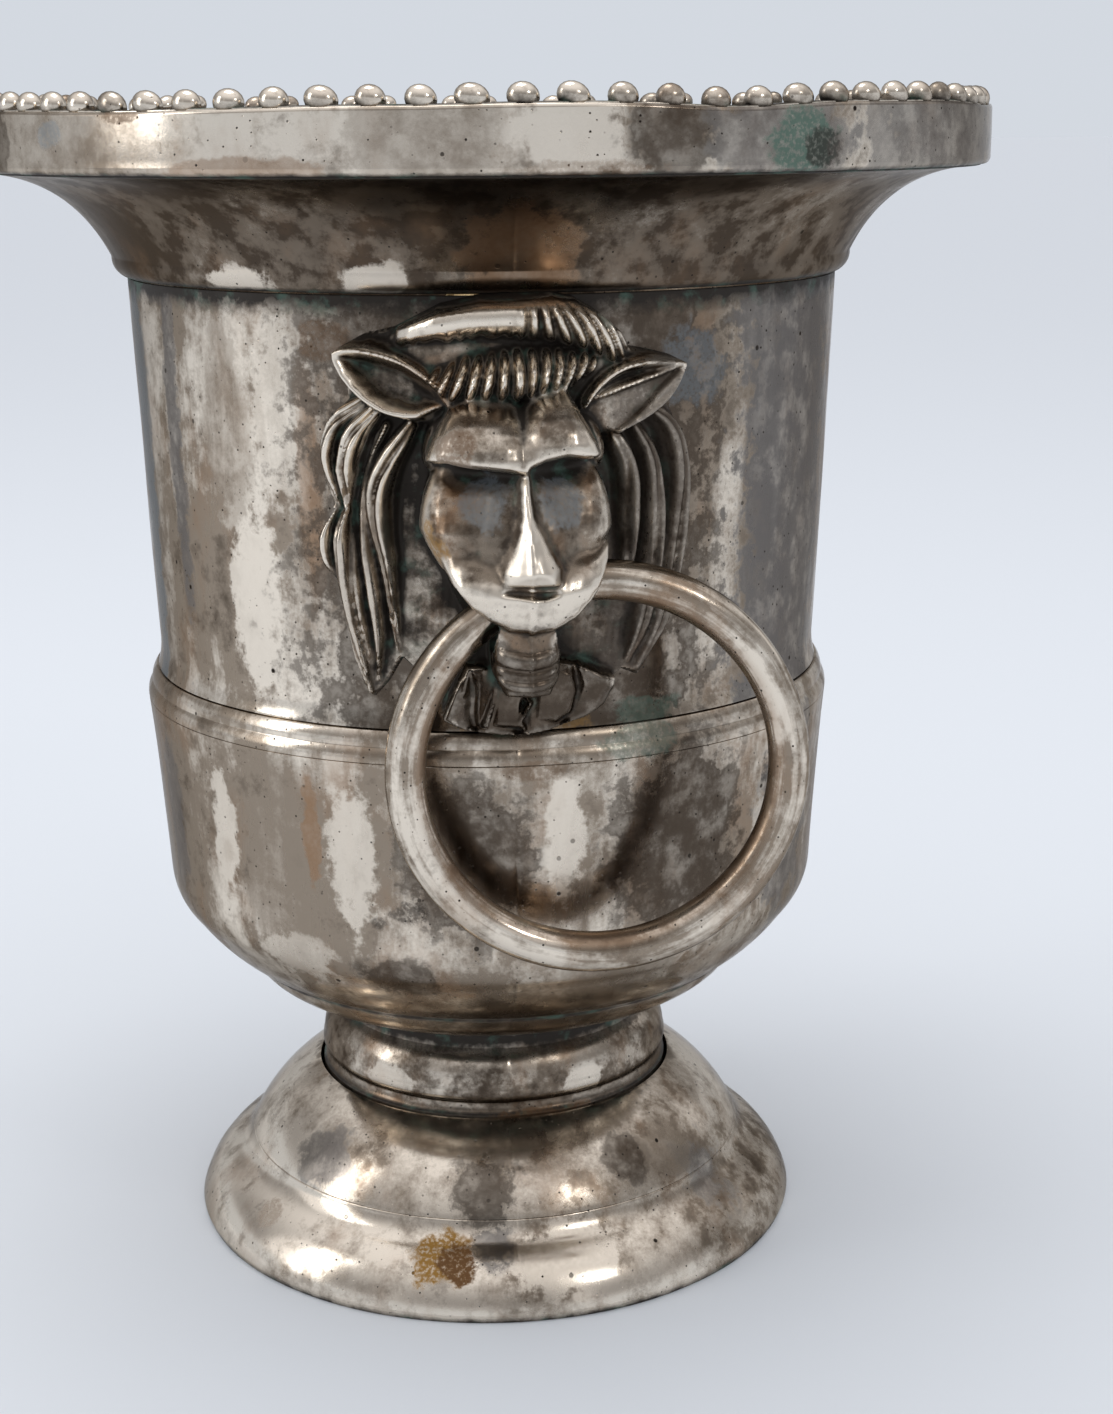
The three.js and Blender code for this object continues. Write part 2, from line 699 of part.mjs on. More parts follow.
// Mask, ring and fasteners of one side, facing -Y
function handleSet(side, turn, rise) {
  const set = new THREE.Group();
  set.add(piece(`${side}_handle_mask`, handleMask(), tarnished));
  set.add(piece(`${side}_ring_handle`, ringHandle(turn, rise), plated));
  const fasteners = {
    upper: maskFastener(upperStudLift, upperStudDepth, drumTopRadius),
    lower: maskFastener(lowerStudLift, lowerStudDepth, bodyRadius),
  };
  for (const [level, parts] of Object.entries(fasteners)) {
    set.add(piece(`${side}_${level}_mask_stud`, parts.stud, brass));
    set.add(piece(`${side}_${level}_mask_washer`, parts.washer, brass));
    const nut = piece(`${side}_${level}_mask_nut`, parts.nut, brass);
    nut.rotation.x = -Math.PI / 2;
    nut.position.set(...parts.nutAt);
    set.add(nut);
  }
  return set;
}

const seal = washer(sealRadius, boltHoleRadius, sealBottom, sealThickness);
const footWasher = washer(footWasherRadius, boltHoleRadius, footWasherBottom, footWasherThickness);
const footNut = hexNut(footNutAcrossFlats, footNutHeight, boltHoleRadius, footNutBottom);

const cooler = new THREE.Group();
cooler.add(piece('foot_base_ring', footBaseRing(), plated));
cooler.add(piece('foot_bell', footBell(), plated));
cooler.add(piece('stem_collar', stemCollar(), tarnished));
cooler.add(piece('lower_cup', lowerCup(), plated));
cooler.add(piece('waist_moulding', waistMoulding(), plated));
cooler.add(piece('drum', drum(), plated));
cooler.add(piece('mouth_flare', mouthFlare(), plated));
cooler.add(piece('rim_band', rimBand(), plated));
cooler.add(piece('bead_border', beadBorder(), plated));
cooler.add(piece('foot_bolt', footBolt(), brass));
cooler.add(piece('sealing_washer', seal, rubber));
cooler.add(piece('foot_washer', footWasher, brass));
cooler.add(piece('foot_nut', footNut, brass));

const front = handleSet('front', frontRingTurn, frontRingRise);
const back = handleSet('back', backRingTurn, backRingRise);
back.rotation.z = Math.PI;
cooler.add(front, back);

export default cooler;
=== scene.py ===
import math

import bpy
import numpy as np
from mathutils import Matrix, Vector


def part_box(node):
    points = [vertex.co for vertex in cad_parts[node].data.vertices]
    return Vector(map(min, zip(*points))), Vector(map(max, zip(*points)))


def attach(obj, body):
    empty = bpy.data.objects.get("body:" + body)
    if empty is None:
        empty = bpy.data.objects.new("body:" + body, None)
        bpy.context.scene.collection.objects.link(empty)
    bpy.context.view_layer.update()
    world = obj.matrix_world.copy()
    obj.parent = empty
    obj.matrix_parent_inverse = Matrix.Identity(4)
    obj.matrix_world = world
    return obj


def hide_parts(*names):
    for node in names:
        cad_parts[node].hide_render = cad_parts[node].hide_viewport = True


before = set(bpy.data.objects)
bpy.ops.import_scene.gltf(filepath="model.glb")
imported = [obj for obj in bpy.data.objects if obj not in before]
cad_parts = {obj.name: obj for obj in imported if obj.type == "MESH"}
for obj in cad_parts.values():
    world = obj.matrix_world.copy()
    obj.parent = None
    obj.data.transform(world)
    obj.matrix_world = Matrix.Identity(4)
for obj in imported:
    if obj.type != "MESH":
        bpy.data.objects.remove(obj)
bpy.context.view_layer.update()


# Foot base ring: the low roll that the cooler stands on, with a cove above it. It is a casting in
# silver-plated metal, turned and polished, then soldered to the bell above. Handling and polish have
# left it waxy bright with small dark pits and a rusty stain near the front.
MM = 0.001
BODY_RADIUS = 70
SHARP_TURN = 0.3
TURN_STEPS = 240
# Dents of the walls: angle round the vessel, height, reach and depth
DENTS = ((-2.35, 160, 9, 1.6), (-0.75, 172, 8, 1.3), (-2.2, 92, 7, 1.2), (-0.6, 98, 10, 1.5),
         (-2.6, 208, 8, 1.0), (0.9, 150, 10, 1.6))
SEAM_WIDTH = 0.55
SEAM_HEIGHT = 0.2
SEAM_ROOM = 2.9
SEAM_SIDES = (-math.pi / 2, math.pi / 2)
SEAM_COLUMNS = (-2.4, -1.5, -0.9, -0.5, -0.22, 0.0, 0.22, 0.5, 0.9, 1.5, 2.4)


def bow(start, end, bulge, steps=9):
    """Points of a shallow arc from one (radius, height) to another, without its last point."""
    start, end = np.array(start, float), np.array(end, float)
    along = end - start
    side = np.array([along[1], -along[0]]) / np.hypot(*along)
    shares = np.arange(steps) / steps
    return [tuple(start + along * t + side * 4 * bulge * t * (1 - t)) for t in shares]


def eased(section, rounding):
    """The closed section with each sharp corner cut back to a small round, as polishing leaves it."""
    points = [np.array(p, float) for p in section]
    rounded = []
    for i, here in enumerate(points):
        before, after = points[i - 1], points[(i + 1) % len(points)]
        come, leave = here - before, after - here
        lengths = np.hypot(*come), np.hypot(*leave)
        if min(lengths) < 1e-6:
            continue
        turn = math.acos(float(np.clip(come @ leave / (lengths[0] * lengths[1]), -1, 1)))
        if turn < SHARP_TURN:
            rounded.append(tuple(here))
            continue
        reach = min(rounding, 0.4 * lengths[0], 0.4 * lengths[1])
        first, last = here - come / lengths[0] * reach, here + leave / lengths[1] * reach
        for t in (0, 0.33, 0.67, 1):
            rounded.append(tuple((1 - t) ** 2 * first + 2 * t * (1 - t) * here + t * t * last))
    return rounded


def unevenness(angle, height, depth):
    """Slight dents and waves of the walls, in millimetres, alike for every piece of the body."""
    slow = np.sin(3 * angle + 0.04 * height) + 0.7 * np.sin(5 * angle - 0.07 * height + 1.3)
    brisk = 0.5 * np.sin(9 * angle + 0.11 * height + 0.6) + 0.35 * np.sin(14 * angle - 0.2 * height)
    dents = 0
    for at, level, reach, deep in DENTS:
        across = BODY_RADIUS * (np.mod(angle - at + math.pi, 2 * math.pi) - math.pi)
        dents = dents + deep * np.exp(-(across ** 2 + (height - level) ** 2) / reach ** 2)
    return depth * (slow + brisk - dents)


def skin(count, rows):
    """Faces of a closed skin of count sections with rows points each, with both ends joined up."""
    faces = []
    for i in range(count):
        a, b = i * rows, (i + 1) % count * rows
        faces += [(a + j, b + j, b + (j + 1) % rows, a + (j + 1) % rows) for j in range(rows)]
    return faces


def placed(name, data):
    """A new object in the scene."""
    made = bpy.data.objects.new(name, data)
    bpy.context.scene.collection.objects.link(made)
    return made


def finished_mesh(name, points, faces, crease=32):
    """A smooth-shaded object from points in millimetres."""
    mesh = bpy.data.meshes.new(name)
    mesh.from_pydata((np.asarray(points) * MM).tolist(), [], faces)
    mesh.shade_smooth()
    mesh.set_sharp_from_angle(angle=math.radians(crease))
    return placed(name, mesh)


def keep_share(made, kind, share):
    """Stores how much grime and painted shade lie at each point, or how far a ridge is rubbed and painted
    bright, 0 to 1, for the finish.
    """
    layer = made.data.attributes.new(kind, "FLOAT", "POINT")
    layer.data.foreach_set("value", np.clip(share, 0, 1).astype(np.float32))


def turned(name, section, hollows=(), uneven=0.05, seam=SEAM_HEIGHT, rounding=0.3):
    """A shell turned from a closed section of (radius, height) points, with its mould seam in front
    and behind. hollows are (radius, height, reach) places where dirt stays and shade is painted."""
    section = np.array(eased(section, rounding))
    angles = set(np.round(np.arange(TURN_STEPS) * 2 * math.pi / TURN_STEPS - math.pi + 0.001, 6))
    middle = section[:, 0].max()
    for side in SEAM_SIDES:
        angles = {a for a in angles if abs(a - side) * middle > SEAM_ROOM}
        angles |= {round(side + offset / middle, 6) for offset in SEAM_COLUMNS}
    angles = np.array(sorted(angles))
    turn, radius = np.meshgrid(angles, section[:, 0], indexing="ij")
    height = np.meshgrid(angles, section[:, 1], indexing="ij")[1]
    grown = radius + unevenness(turn, height, uneven)
    for side in SEAM_SIDES:
        grown += seam * np.exp(-((turn - side) * middle / SEAM_WIDTH) ** 2)
    points = np.stack([grown * np.cos(turn), grown * np.sin(turn), height], -1).reshape(-1, 3)
    made = finished_mesh(name, points, skin(len(angles), len(section)))
    grime_and_shade = np.zeros(radius.shape)
    for r, z, reach in hollows:
        grime_and_shade = np.maximum(grime_and_shade, 1 - np.hypot(radius - r, height - z) / reach)
    keep_share(made, "grime_and_shade", grime_and_shade.reshape(-1))
    return made


def add(tree, kind, sockets=None, **settings):
    """One shader node with its settings and its sockets, each a value or another node's output."""
    node = tree.nodes.new("ShaderNode" + kind)
    for key, value in settings.items():
        setattr(node, key, value)
    for key, value in (sockets or {}).items():
        if isinstance(value, bpy.types.NodeSocket):
            tree.links.new(value, node.inputs[key])
        else:
            node.inputs[key].default_value = value
    return node


def cloud(tree, place, scale, detail, roughness=0.55):
    """Soft irregular patches, about 1/scale metres across."""
    sockets = {"Vector": place, "Scale": scale, "Detail": detail, "Roughness": roughness}
    return add(tree, "TexNoise", sockets).outputs["Fac"]


def stretched(tree, place, scale):
    return add(tree, "Mapping", {"Vector": place, "Scale": scale}).outputs[0]


def ramp(tree, value, low, high, bottom=0.0, top=1.0):
    """value brought smoothly from low..high to bottom..top."""
    sockets = {"Value": value, "From Min": low, "From Max": high, "To Min": bottom, "To Max": top}
    return add(tree, "MapRange", sockets, interpolation_type="SMOOTHSTEP").outputs[0]


def calc(tree, operation, value, *others, clamp=False):
    """value taken with each of the others in turn, and the end result held to 0..1 with clamp."""
    for other in others:
        node = add(tree, "Math", {0: value, 1: other}, operation=operation)
        value = node.outputs[0]
    node.use_clamp = clamp
    return value


def blended(tree, share, under, over):
    sockets = {0: share, 6: under, 7: over}
    return add(tree, "Mix", sockets, data_type="RGBA").outputs[2]


def patch(tree, place, ragged, centre, reach, tall):
    """A ragged blotch round a point in millimetres, 0 to 1, drawn out upright when tall is over 1."""
    squat = (1, 1, 1 / tall)
    middle = tuple(c * share * MM for c, share in zip(centre, squat))
    level = add(tree, "VectorMath", {0: place, 1: squat}, operation="MULTIPLY").outputs["Vector"]
    away = add(tree, "VectorMath", {0: level, 1: middle}, operation="DISTANCE").outputs["Value"]
    spread = ramp(tree, ragged, 0.25, 0.75, -0.34 * reach * MM, 0.34 * reach * MM)
    return ramp(tree, calc(tree, "ADD", away, spread), 0.92 * reach * MM, 0.66 * reach * MM)


def pitting(tree, place, scale, least):
    """Scattered round pits of mixed size, 0 to 1. Cells under the least lot have none."""
    cells = add(tree, "TexVoronoi", {"Vector": place, "Scale": scale, "Randomness": 1.0})
    lots = add(tree, "SeparateColor", {0: cells.outputs["Color"]}).outputs
    size = ramp(tree, lots[0], least, 1.0, 0.0, 0.22)
    depth = ramp(tree, calc(tree, "SUBTRACT", size, cells.outputs["Distance"]), 0.0, 0.07)
    return calc(tree, "MULTIPLY", depth, ramp(tree, lots[1], 0.1, 0.7, 0.25, 1))


def bare_finish(name):
    """A new material, its node tree and its shader."""
    material = bpy.data.materials.new(name)
    material.use_nodes = True
    return material, material.node_tree, material.node_tree.nodes["Principled BSDF"]


# Tones of the plate. The bright, dulled, greyed and smoked tones also paint reflections, highlights and shade
# in the patches, and the sooted tone paints shade in the hollows.
CLEAN_AND_SHEEN = (0.80, 0.715, 0.605, 1)
DULLED_AND_SHADED = (0.30, 0.245, 0.19, 1)
GREYED_AND_SHADED = (0.165, 0.152, 0.143, 1)
SMOKED_AND_SHADED = (0.072, 0.054, 0.04, 1)
SOOTED_AND_SHADED = (0.026, 0.021, 0.017, 1)
COPPERY = (0.31, 0.185, 0.105, 1)
RUSTY_AND_SHADED = (0.13, 0.062, 0.022, 1)
GOLDEN = (0.29, 0.155, 0.035, 1)
VERDIGRIS = (0.075, 0.135, 0.105, 1)
BLUISH = (0.17, 0.20, 0.22, 1)
DUSTED_AND_SHADED = (0.085, 0.066, 0.052, 1)


def silver_plate(name, tarnish, streaks, pits, brown, smoke_and_shade=0.0, rubbed_and_highlit=0.0, drawn=False,
                 patches_and_painted_light=(), stains=()):
    """Silver plate as it ages: bright, dulled and smoked clouds, wipe marks, small dark pits, copper
    showing where the plate is thin, and dirt with painted shade in the hollows. The smoke amount also
    paints shade, and the rubbed amount is how bright the ridges are worn and painted with highlights.
    Wipe marks run upright, or along the wire of a drawn piece. The patches are of the metal's tone and
    of painted reflection, highlight and shade, and stains lie on it: (colour, centre, reach, tall, share)."""
    material, tree, shader = bare_finish(name)
    place = add(tree, "TexCoord").outputs["Object"]
    dirt_and_shade = add(tree, "Attribute", attribute_name="grime_and_shade").outputs["Fac"]

    # Clouds from broad to fine, and the wipe marks
    broad = cloud(tree, place, 26, 4, 0.6)
    if drawn:
        upright = cloud(tree, add(tree, "Attribute", attribute_name="drawn").outputs["Vector"], 560, 5, 0.6)
    else:
        upright = cloud(tree, stretched(tree, place, (1, 1, 0.16)), 110, 5, 0.6)
    mottled = cloud(tree, place, 170, 9, 0.66)
    fine = cloud(tree, place, 1300, 4, 0.6)

    # Bright metal that has dulled, smoke with painted shade over it, and copper where the plate is thin
    dull = calc(tree, "ADD", ramp(tree, broad, 0.34, 0.66), ramp(tree, upright, 0.38, 0.66, 0, streaks),
                ramp(tree, mottled, 0.36, 0.68, -0.32, 0.42), ramp(tree, fine, 0.3, 0.7, -0.12, 0.12),
                tarnish - 0.06, clamp=True)
    colour = blended(tree, dull, CLEAN_AND_SHEEN, DULLED_AND_SHADED)
    smoky_and_shaded = calc(tree, "ADD", ramp(tree, broad, 0.5, 0.74, 0, 0.6), ramp(tree, mottled, 0.42, 0.7, -0.3, 0.5),
                 smoke_and_shade - 0.2, clamp=True)
    colour = blended(tree, smoky_and_shaded, colour, SMOKED_AND_SHADED)
    thin = ramp(tree, cloud(tree, stretched(tree, place, (1, 1, 0.5)), 75, 7, 0.65), 0.48, 0.72, 0, brown)
    colour = blended(tree, thin, colour, COPPERY)

    # Ridges rubbed bright with painted highlights, wire browned on its inner side with painted shade, and
    # patches of tone and painted light
    if rubbed_and_highlit:
        ridges = add(tree, "Attribute", attribute_name="rubbed_and_highlit").outputs["Fac"]
        ridges = calc(tree, "ADD", ridges, ramp(tree, mottled, 0.35, 0.7, 0.12, -0.3))
        colour = blended(tree, ramp(tree, ridges, 0.1, 0.8, 0, rubbed_and_highlit), colour, CLEAN_AND_SHEEN)
    if drawn:
        browned_and_shaded = add(tree, "Attribute", attribute_name="browned_and_shaded").outputs["Fac"]
        browned_and_shaded = calc(tree, "MULTIPLY", browned_and_shaded, ramp(tree, mottled, 0.35, 0.6, 0.55, 1))
        colour = blended(tree, browned_and_shaded, colour, COPPERY)
    for mark_colour, centre, reach, tall, share in patches_and_painted_light:
        patch_share = calc(tree, "MULTIPLY", patch(tree, place, mottled, centre, reach, tall), share,
                    ramp(tree, mottled, 0.32, 0.56, 0.72, 1))
        colour = blended(tree, patch_share, colour, mark_colour)

    # Small dark pits, then dirt and painted shade in the hollows, green in places, then stains
    pit = calc(tree, "MAXIMUM", pitting(tree, place, 380.0, 0.86), pitting(tree, place, 850.0, 0.35))
    pit = calc(tree, "MULTIPLY", pit, pits)
    colour = blended(tree, pit, colour, SOOTED_AND_SHADED)
    settled_and_shaded = calc(tree, "ADD", calc(tree, "MULTIPLY", dirt_and_shade, 1.5), ramp(tree, mottled, 0.3, 0.72, -0.4, 0.25))
    settled_and_shaded = calc(tree, "MULTIPLY", calc(tree, "MAXIMUM", settled_and_shaded, 0.0), ramp(tree, dirt_and_shade, 0.02, 0.25),
                   clamp=True)
    green = ramp(tree, cloud(tree, place, 190, 6, 0.6), 0.5, 0.66, 0, 0.6)
    colour = blended(tree, settled_and_shaded, colour, blended(tree, green, SOOTED_AND_SHADED, VERDIGRIS))
    soiled_and_shaded = settled_and_shaded
    for stain_colour, centre, reach, tall, share in stains:
        blotch = calc(tree, "MULTIPLY", patch(tree, place, mottled, centre, reach, tall), share,
                      ramp(tree, fine, 0.32, 0.55, 0.4, 1))
        colour = blended(tree, blotch, colour, stain_colour)
        soiled_and_shaded = calc(tree, "MAXIMUM", soiled_and_shaded, blotch)

    # Dirt, painted shade and stains are less of a metal and rougher; mottling and pits also stand in the
    # relief
    tree.links.new(colour, shader.inputs["Base Color"])
    shader.inputs["Specular Tint"].default_value = (0.5, 0.48, 0.46, 1)
    tree.links.new(ramp(tree, soiled_and_shaded, 0, 1, 1.0, 0.3), shader.inputs["Metallic"])
    roughness = calc(tree, "ADD", ramp(tree, dull, 0, 1, 0.13, 0.24), calc(tree, "MULTIPLY", smoky_and_shaded, 0.06),
                     calc(tree, "MULTIPLY", soiled_and_shaded, 0.3), ramp(tree, upright, 0.4, 0.65, 0, 0.05), clamp=True)
    tree.links.new(roughness, shader.inputs["Roughness"])
    relief = calc(tree, "SUBTRACT", calc(tree, "MULTIPLY", mottled, 0.35), calc(tree, "MULTIPLY", pit, 0.9))
    relief = calc(tree, "ADD", relief, calc(tree, "MULTIPLY", fine, 0.12))
    sockets = {"Height": relief, "Distance": 0.00016, "Strength": 0.4}
    tree.links.new(add(tree, "Bump", sockets).outputs[0], shader.inputs["Normal"])
    return material


def fitted(made, material, body, node):
    """The piece gets its finish and its material slot, rides its body and stands for its CAD node."""
    made.data.materials.append(material)
    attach(made, body)
    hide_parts(node)


# The ring's bottom edge is painted dark as shade where it meets the floor. In the finish it shares with the
# bell, the lighter and darker patches are tarnish and painted reflection, and the dark band at the stem's
# foot is a painted shadow.
foot_ring = turned("foot_roll", [
    (65.5, 0), *bow((66.1, 1.6), (58, 12.2), 1.3, 14), *bow((58, 12.2), (54.2, 16.9), -0.6),
    (54.2, 16.9), *bow((51.6, 16.9), (62.1, 0), -0.8), (62.1, 0),
], hollows=[(66, 0, 1.6)], seam=0.09)
foot_plate = silver_plate("foot_plate", tarnish=-0.12, streaks=0.12, pits=1.0, brown=0.35, patches_and_painted_light=[
    (SMOKED_AND_SHADED, (-6, -51, 22), 8.5, 1.1, 0.85), (GREYED_AND_SHADED, (-4, -58, 12), 6.0, 0.9, 0.85),
    (SMOKED_AND_SHADED, (25, -44, 25), 7.0, 1, 0.88), (GREYED_AND_SHADED, (-40, -34, 25), 9.0, 1, 0.8),
    (GREYED_AND_SHADED, (46, -38, 20), 12.0, 1, 0.7), (CLEAN_AND_SHEEN, (10, -60, 10), 16.0, 0.5, 0.8),
    (DULLED_AND_SHADED, (34, -38, 24), 9.0, 1, 0.7), (SMOKED_AND_SHADED, (0, 0, 33), 50.0, 0.055, 0.8),
], stains=[
    (GOLDEN, (-16, -59, 11), 8.0, 0.9, 1), (RUSTY_AND_SHADED, (-13, -60, 11), 5.5, 1, 1),
    (RUSTY_AND_SHADED, (-52, -33, 12), 5.0, 1, 0.5), (RUSTY_AND_SHADED, (-45, -36, 21), 4.0, 1, 0.4),
])
fitted(foot_ring, foot_plate, "vessel", "foot_base_ring")


# Foot bell: the domed shell on the base ring, with a flat seat for the stem. Cast and plated with the
# ring, and drawn tight against the stem by the bolt.
BOLT_HOLE = 4.3
foot_bell = turned("foot_bell_shell", [
    *bow((54.2, 16.95), (46.2, 27.2), 0.6, 12), *bow((46.2, 27.2), (38.09, 32.7), 0.3, 12),
    (38.09, 28.2), (BOLT_HOLE, 28.2),
    (BOLT_HOLE, 25.6), *bow((39, 25.6), (51.6, 17), -0.8), (51.6, 17),
], seam=0.09, rounding=0.12)
fitted(foot_bell, foot_plate, "vessel", "foot_bell")


# Foot nut and washer: unplated brass, one hexagonal and one turned. They sit on the bolt under the
# bell and pull foot, stem and cup together.
def bored(name, section, steps=64):
    """A small turned piece with no seam, from a closed section of (radius, height) points."""
    section = eased(section, 0.25)
    points = []
    for i in range(steps):
        angle = 2 * math.pi * i / steps
        points += [(r * math.cos(angle), r * math.sin(angle), z) for r, z in section]
    return finished_mesh(name, points, skin(steps, len(section)))


def washer(name, outer, inner, bottom, top):
    return bored(name, [(inner, bottom), (outer, bottom), (outer, top), (inner, top)])


def hex_nut(name, across_flats, bore, bottom, top):
    """A hexagonal nut: flats between two chamfered ends, with a chamfered bore."""
    steps, corner, flat = 72, across_flats / math.sqrt(3), across_flats / 2
    chamfer = 0.55 * (corner - flat) + 0.2
    points = []
    for i in range(steps):
        angle = 2 * math.pi * i / steps
        side = flat / math.cos((angle % (math.pi / 3)) - math.pi / 6)
        drop = chamfer * max(0.0, side - flat) / (corner - flat)
        for r, z in ((bore, bottom + 0.5), (bore + 0.5, bottom), (0.97 * flat, bottom),
                     (side, bottom + drop + 0.2), (side, top - drop - 0.2), (0.97 * flat, top),
                     (bore + 0.5, top), (bore, top - 0.5)):
            points.append((r * math.cos(angle), r * math.sin(angle), z))
    return finished_mesh(name, points, skin(steps, len(points) // steps), 24)


def dull_brass(name):
    """Unplated brass that has browned unevenly, with finger marks and turning lines."""
    material, tree, shader = bare_finish(name)
    place = add(tree, "TexCoord").outputs["Object"]
    spots = cloud(tree, place, 240, 6)
    fine = cloud(tree, place, 1400, 3)
    colour = blended(tree, ramp(tree, spots, 0.35, 0.65), (0.66, 0.52, 0.28, 1), (0.40, 0.29, 0.15, 1))
    colour = blended(tree, ramp(tree, fine, 0.55, 0.75, 0, 0.6), colour, (0.13, 0.10, 0.06, 1))
    tree.links.new(colour, shader.inputs["Base Color"])
    tree.links.new(ramp(tree, spots, 0.3, 0.7, 0.28, 0.48), shader.inputs["Roughness"])
    shader.inputs["Metallic"].default_value = 1.0
    bump = add(tree, "Bump", {"Height": fine, "Distance": 0.00008, "Strength": 0.4})
    tree.links.new(bump.outputs[0], shader.inputs["Normal"])
    return material


aged_brass = dull_brass("aged_brass")
foot_washer = washer("foot_clamp_washer", 18, BOLT_HOLE, 22.9, 25.3)
fitted(foot_washer, aged_brass, "vessel", "foot_washer")
foot_nut = hex_nut("foot_clamp_nut", 13, BOLT_HOLE, 16.1, 22.6)
fitted(foot_nut, aged_brass, "vessel", "foot_nut")


# Stem collar: the turned neck between foot and cup, with a roll near its foot. Cast, plated and
# blackened in its hollows, where polish never reaches, with painted shade there. It is darkened all
# over as a painted reflection of the cup, with a rusty brown band at its foot painted as shadow and
# painted highlights on its roll.
stem = turned("stem_neck", [
    (38.05, 28.25), *bow((38.05, 32.5), (37.1, 35), -0.4, 8), *bow((37.1, 35), (37.8, 38.6), 0.6),
    *bow((37.8, 38.6), (34.2, 46), 0.9), *bow((34.2, 46), (35.6, 53), -0.8),
    (35.6, 53), (29, 53), (29, 28.25),
], hollows=[(38, 32.8, 0.7), (34.4, 48, 4.0), (35.6, 52.6, 3.0)], rounding=0.12)
stem_plate = silver_plate("stem_plate", tarnish=0.4, smoke_and_shade=0.7, streaks=0.1, pits=0.9, brown=0.5, patches_and_painted_light=[
    (SMOKED_AND_SHADED, (0, 0, 32.5), 52.0, 0.06, 0.9), (CLEAN_AND_SHEEN, (16, -33, 38), 6.0, 0.6, 0.8),
    (CLEAN_AND_SHEEN, (-24, -29, 38), 8.0, 0.5, 0.6),
], stains=[
    (RUSTY_AND_SHADED, (6, -38, 31.5), 14.0, 0.18, 0.5),
])
fitted(stem, stem_plate, "vessel", "stem_collar")


# Lower cup: one shell from the bolt hole out over the underside bead and the knee up to the waist.
# Cast, plated and soldered under the waist ring, with wipe marks down its side and a few dents.
cup = turned("lower_cup_shell", [
    (BOLT_HOLE, 53.3), (43.5, 53.3), *bow((43.5, 53.3), (53.8, 60.2), 1.5, 14), (53.8, 60.2),
    *bow((54.3, 60.7), (65.5, 71.5), 0.8, 12), *bow((65.5, 71.5), (69.2, 80.5), 0.9, 12),
    *bow((69.2, 80.5), (72.1, 117.9), -0.2, 18), (72.1, 117.9), (69.7, 117.9),
    *bow((66.8, 80.5), (52, 61.4), -1.9, 14), (52, 61.4), (43.5, 56.3), (BOLT_HOLE, 56.3),
], hollows=[(43.5, 53.3, 5.0), (54, 60.4, 1.2)], uneven=0.07, seam=0.12)
# Its lighter and darker upright patches are tarnish and painted reflection, and the crease under its bead is
# painted dark as shade.
cup_plate = silver_plate("cup_plate", tarnish=0.08, streaks=0.85, pits=0.9, brown=0.5, patches_and_painted_light=[
    (DULLED_AND_SHADED, (-45, -55, 97), 13.0, 1.8, 0.8), (CLEAN_AND_SHEEN, (-56, -44, 97), 5.0, 3.4, 0.9),
    (CLEAN_AND_SHEEN, (-31, -64, 97), 6.5, 3, 0.85), (COPPERY, (-39, -60, 100), 2.6, 6, 0.8),
    (GREYED_AND_SHADED, (-66, -24, 97), 6.0, 4, 0.7), (SMOKED_AND_SHADED, (-9, -71, 99), 17.0, 1.2, 0.92),
    (SMOKED_AND_SHADED, (32, -63, 100), 20.0, 1.3, 0.95), (CLEAN_AND_SHEEN, (9, -71, 101), 5.0, 3.6, 0.92),
    (GREYED_AND_SHADED, (58, -42, 98), 15.0, 2, 0.85), (CLEAN_AND_SHEEN, (50, -50, 92), 3.0, 5, 0.6),
    (SMOKED_AND_SHADED, (-22, -62, 74), 11.0, 0.5, 0.85), (CLEAN_AND_SHEEN, (-40, -50, 76), 12.0, 0.5, 0.6),
    (SMOKED_AND_SHADED, (0, -56, 58), 22.0, 0.5, 0.8), (DULLED_AND_SHADED, (20, -62, 76), 14.0, 0.6, 0.7),
    (SMOKED_AND_SHADED, (0, 71, 99), 34.0, 1, 0.7),
], stains=[
    (SOOTED_AND_SHADED, (-21, -68, 88), 4.5, 0.8, 0.7), (SOOTED_AND_SHADED, (-27, -66, 85), 3.5, 0.7, 0.7),
    (RUSTY_AND_SHADED, (4, -72, 117), 10.0, 0.25, 0.4), (VERDIGRIS, (24, -67, 121), 10.0, 0.45, 0.5),
    (SOOTED_AND_SHADED, (50, -49, 110), 2.6, 1.5, 0.8),
])
fitted(cup, cup_plate, "vessel", "lower_cup")


# Foot bolt with its rubber seal: the domed head lies on the cup's floor and the shank runs down
# through stem, bell, washer and nut. Brass, with a rolled thread below the bell.
bolt_section = [(0.01, 12.9), (3.4, 12.9), (4, 13.6)]
for crest in np.arange(14.2, 24.5, 1.0):
    bolt_section += [(4, crest), (3.5, crest + 0.5)]
bolt_section += [(4, 25), (4, 58.4), (9, 58.4), *bow((9, 59.4), (0.01, 62.4), 1.0), (0.01, 62.4)]
bolt = bored("foot_clamp_bolt", bolt_section)
fitted(bolt, aged_brass, "vessel", "foot_bolt")
seal = washer("bolt_seal", 13, BOLT_HOLE, 56.6, 58.1)
seal_rubber, seal_tree, seal_shader = bare_finish("seal_rubber")
seal_spots = cloud(seal_tree, add(seal_tree, "TexCoord").outputs["Object"], 420, 5)
seal_colour = blended(seal_tree, ramp(seal_tree, seal_spots, 0.35, 0.7), (0.05, 0.047, 0.044, 1),
                      (0.11, 0.10, 0.09, 1))
seal_tree.links.new(seal_colour, seal_shader.inputs["Base Color"])
seal_tree.links.new(ramp(seal_tree, seal_spots, 0.3, 0.7, 0.6, 0.85), seal_shader.inputs["Roughness"])
fitted(seal, seal_rubber, "vessel", "sealing_washer")


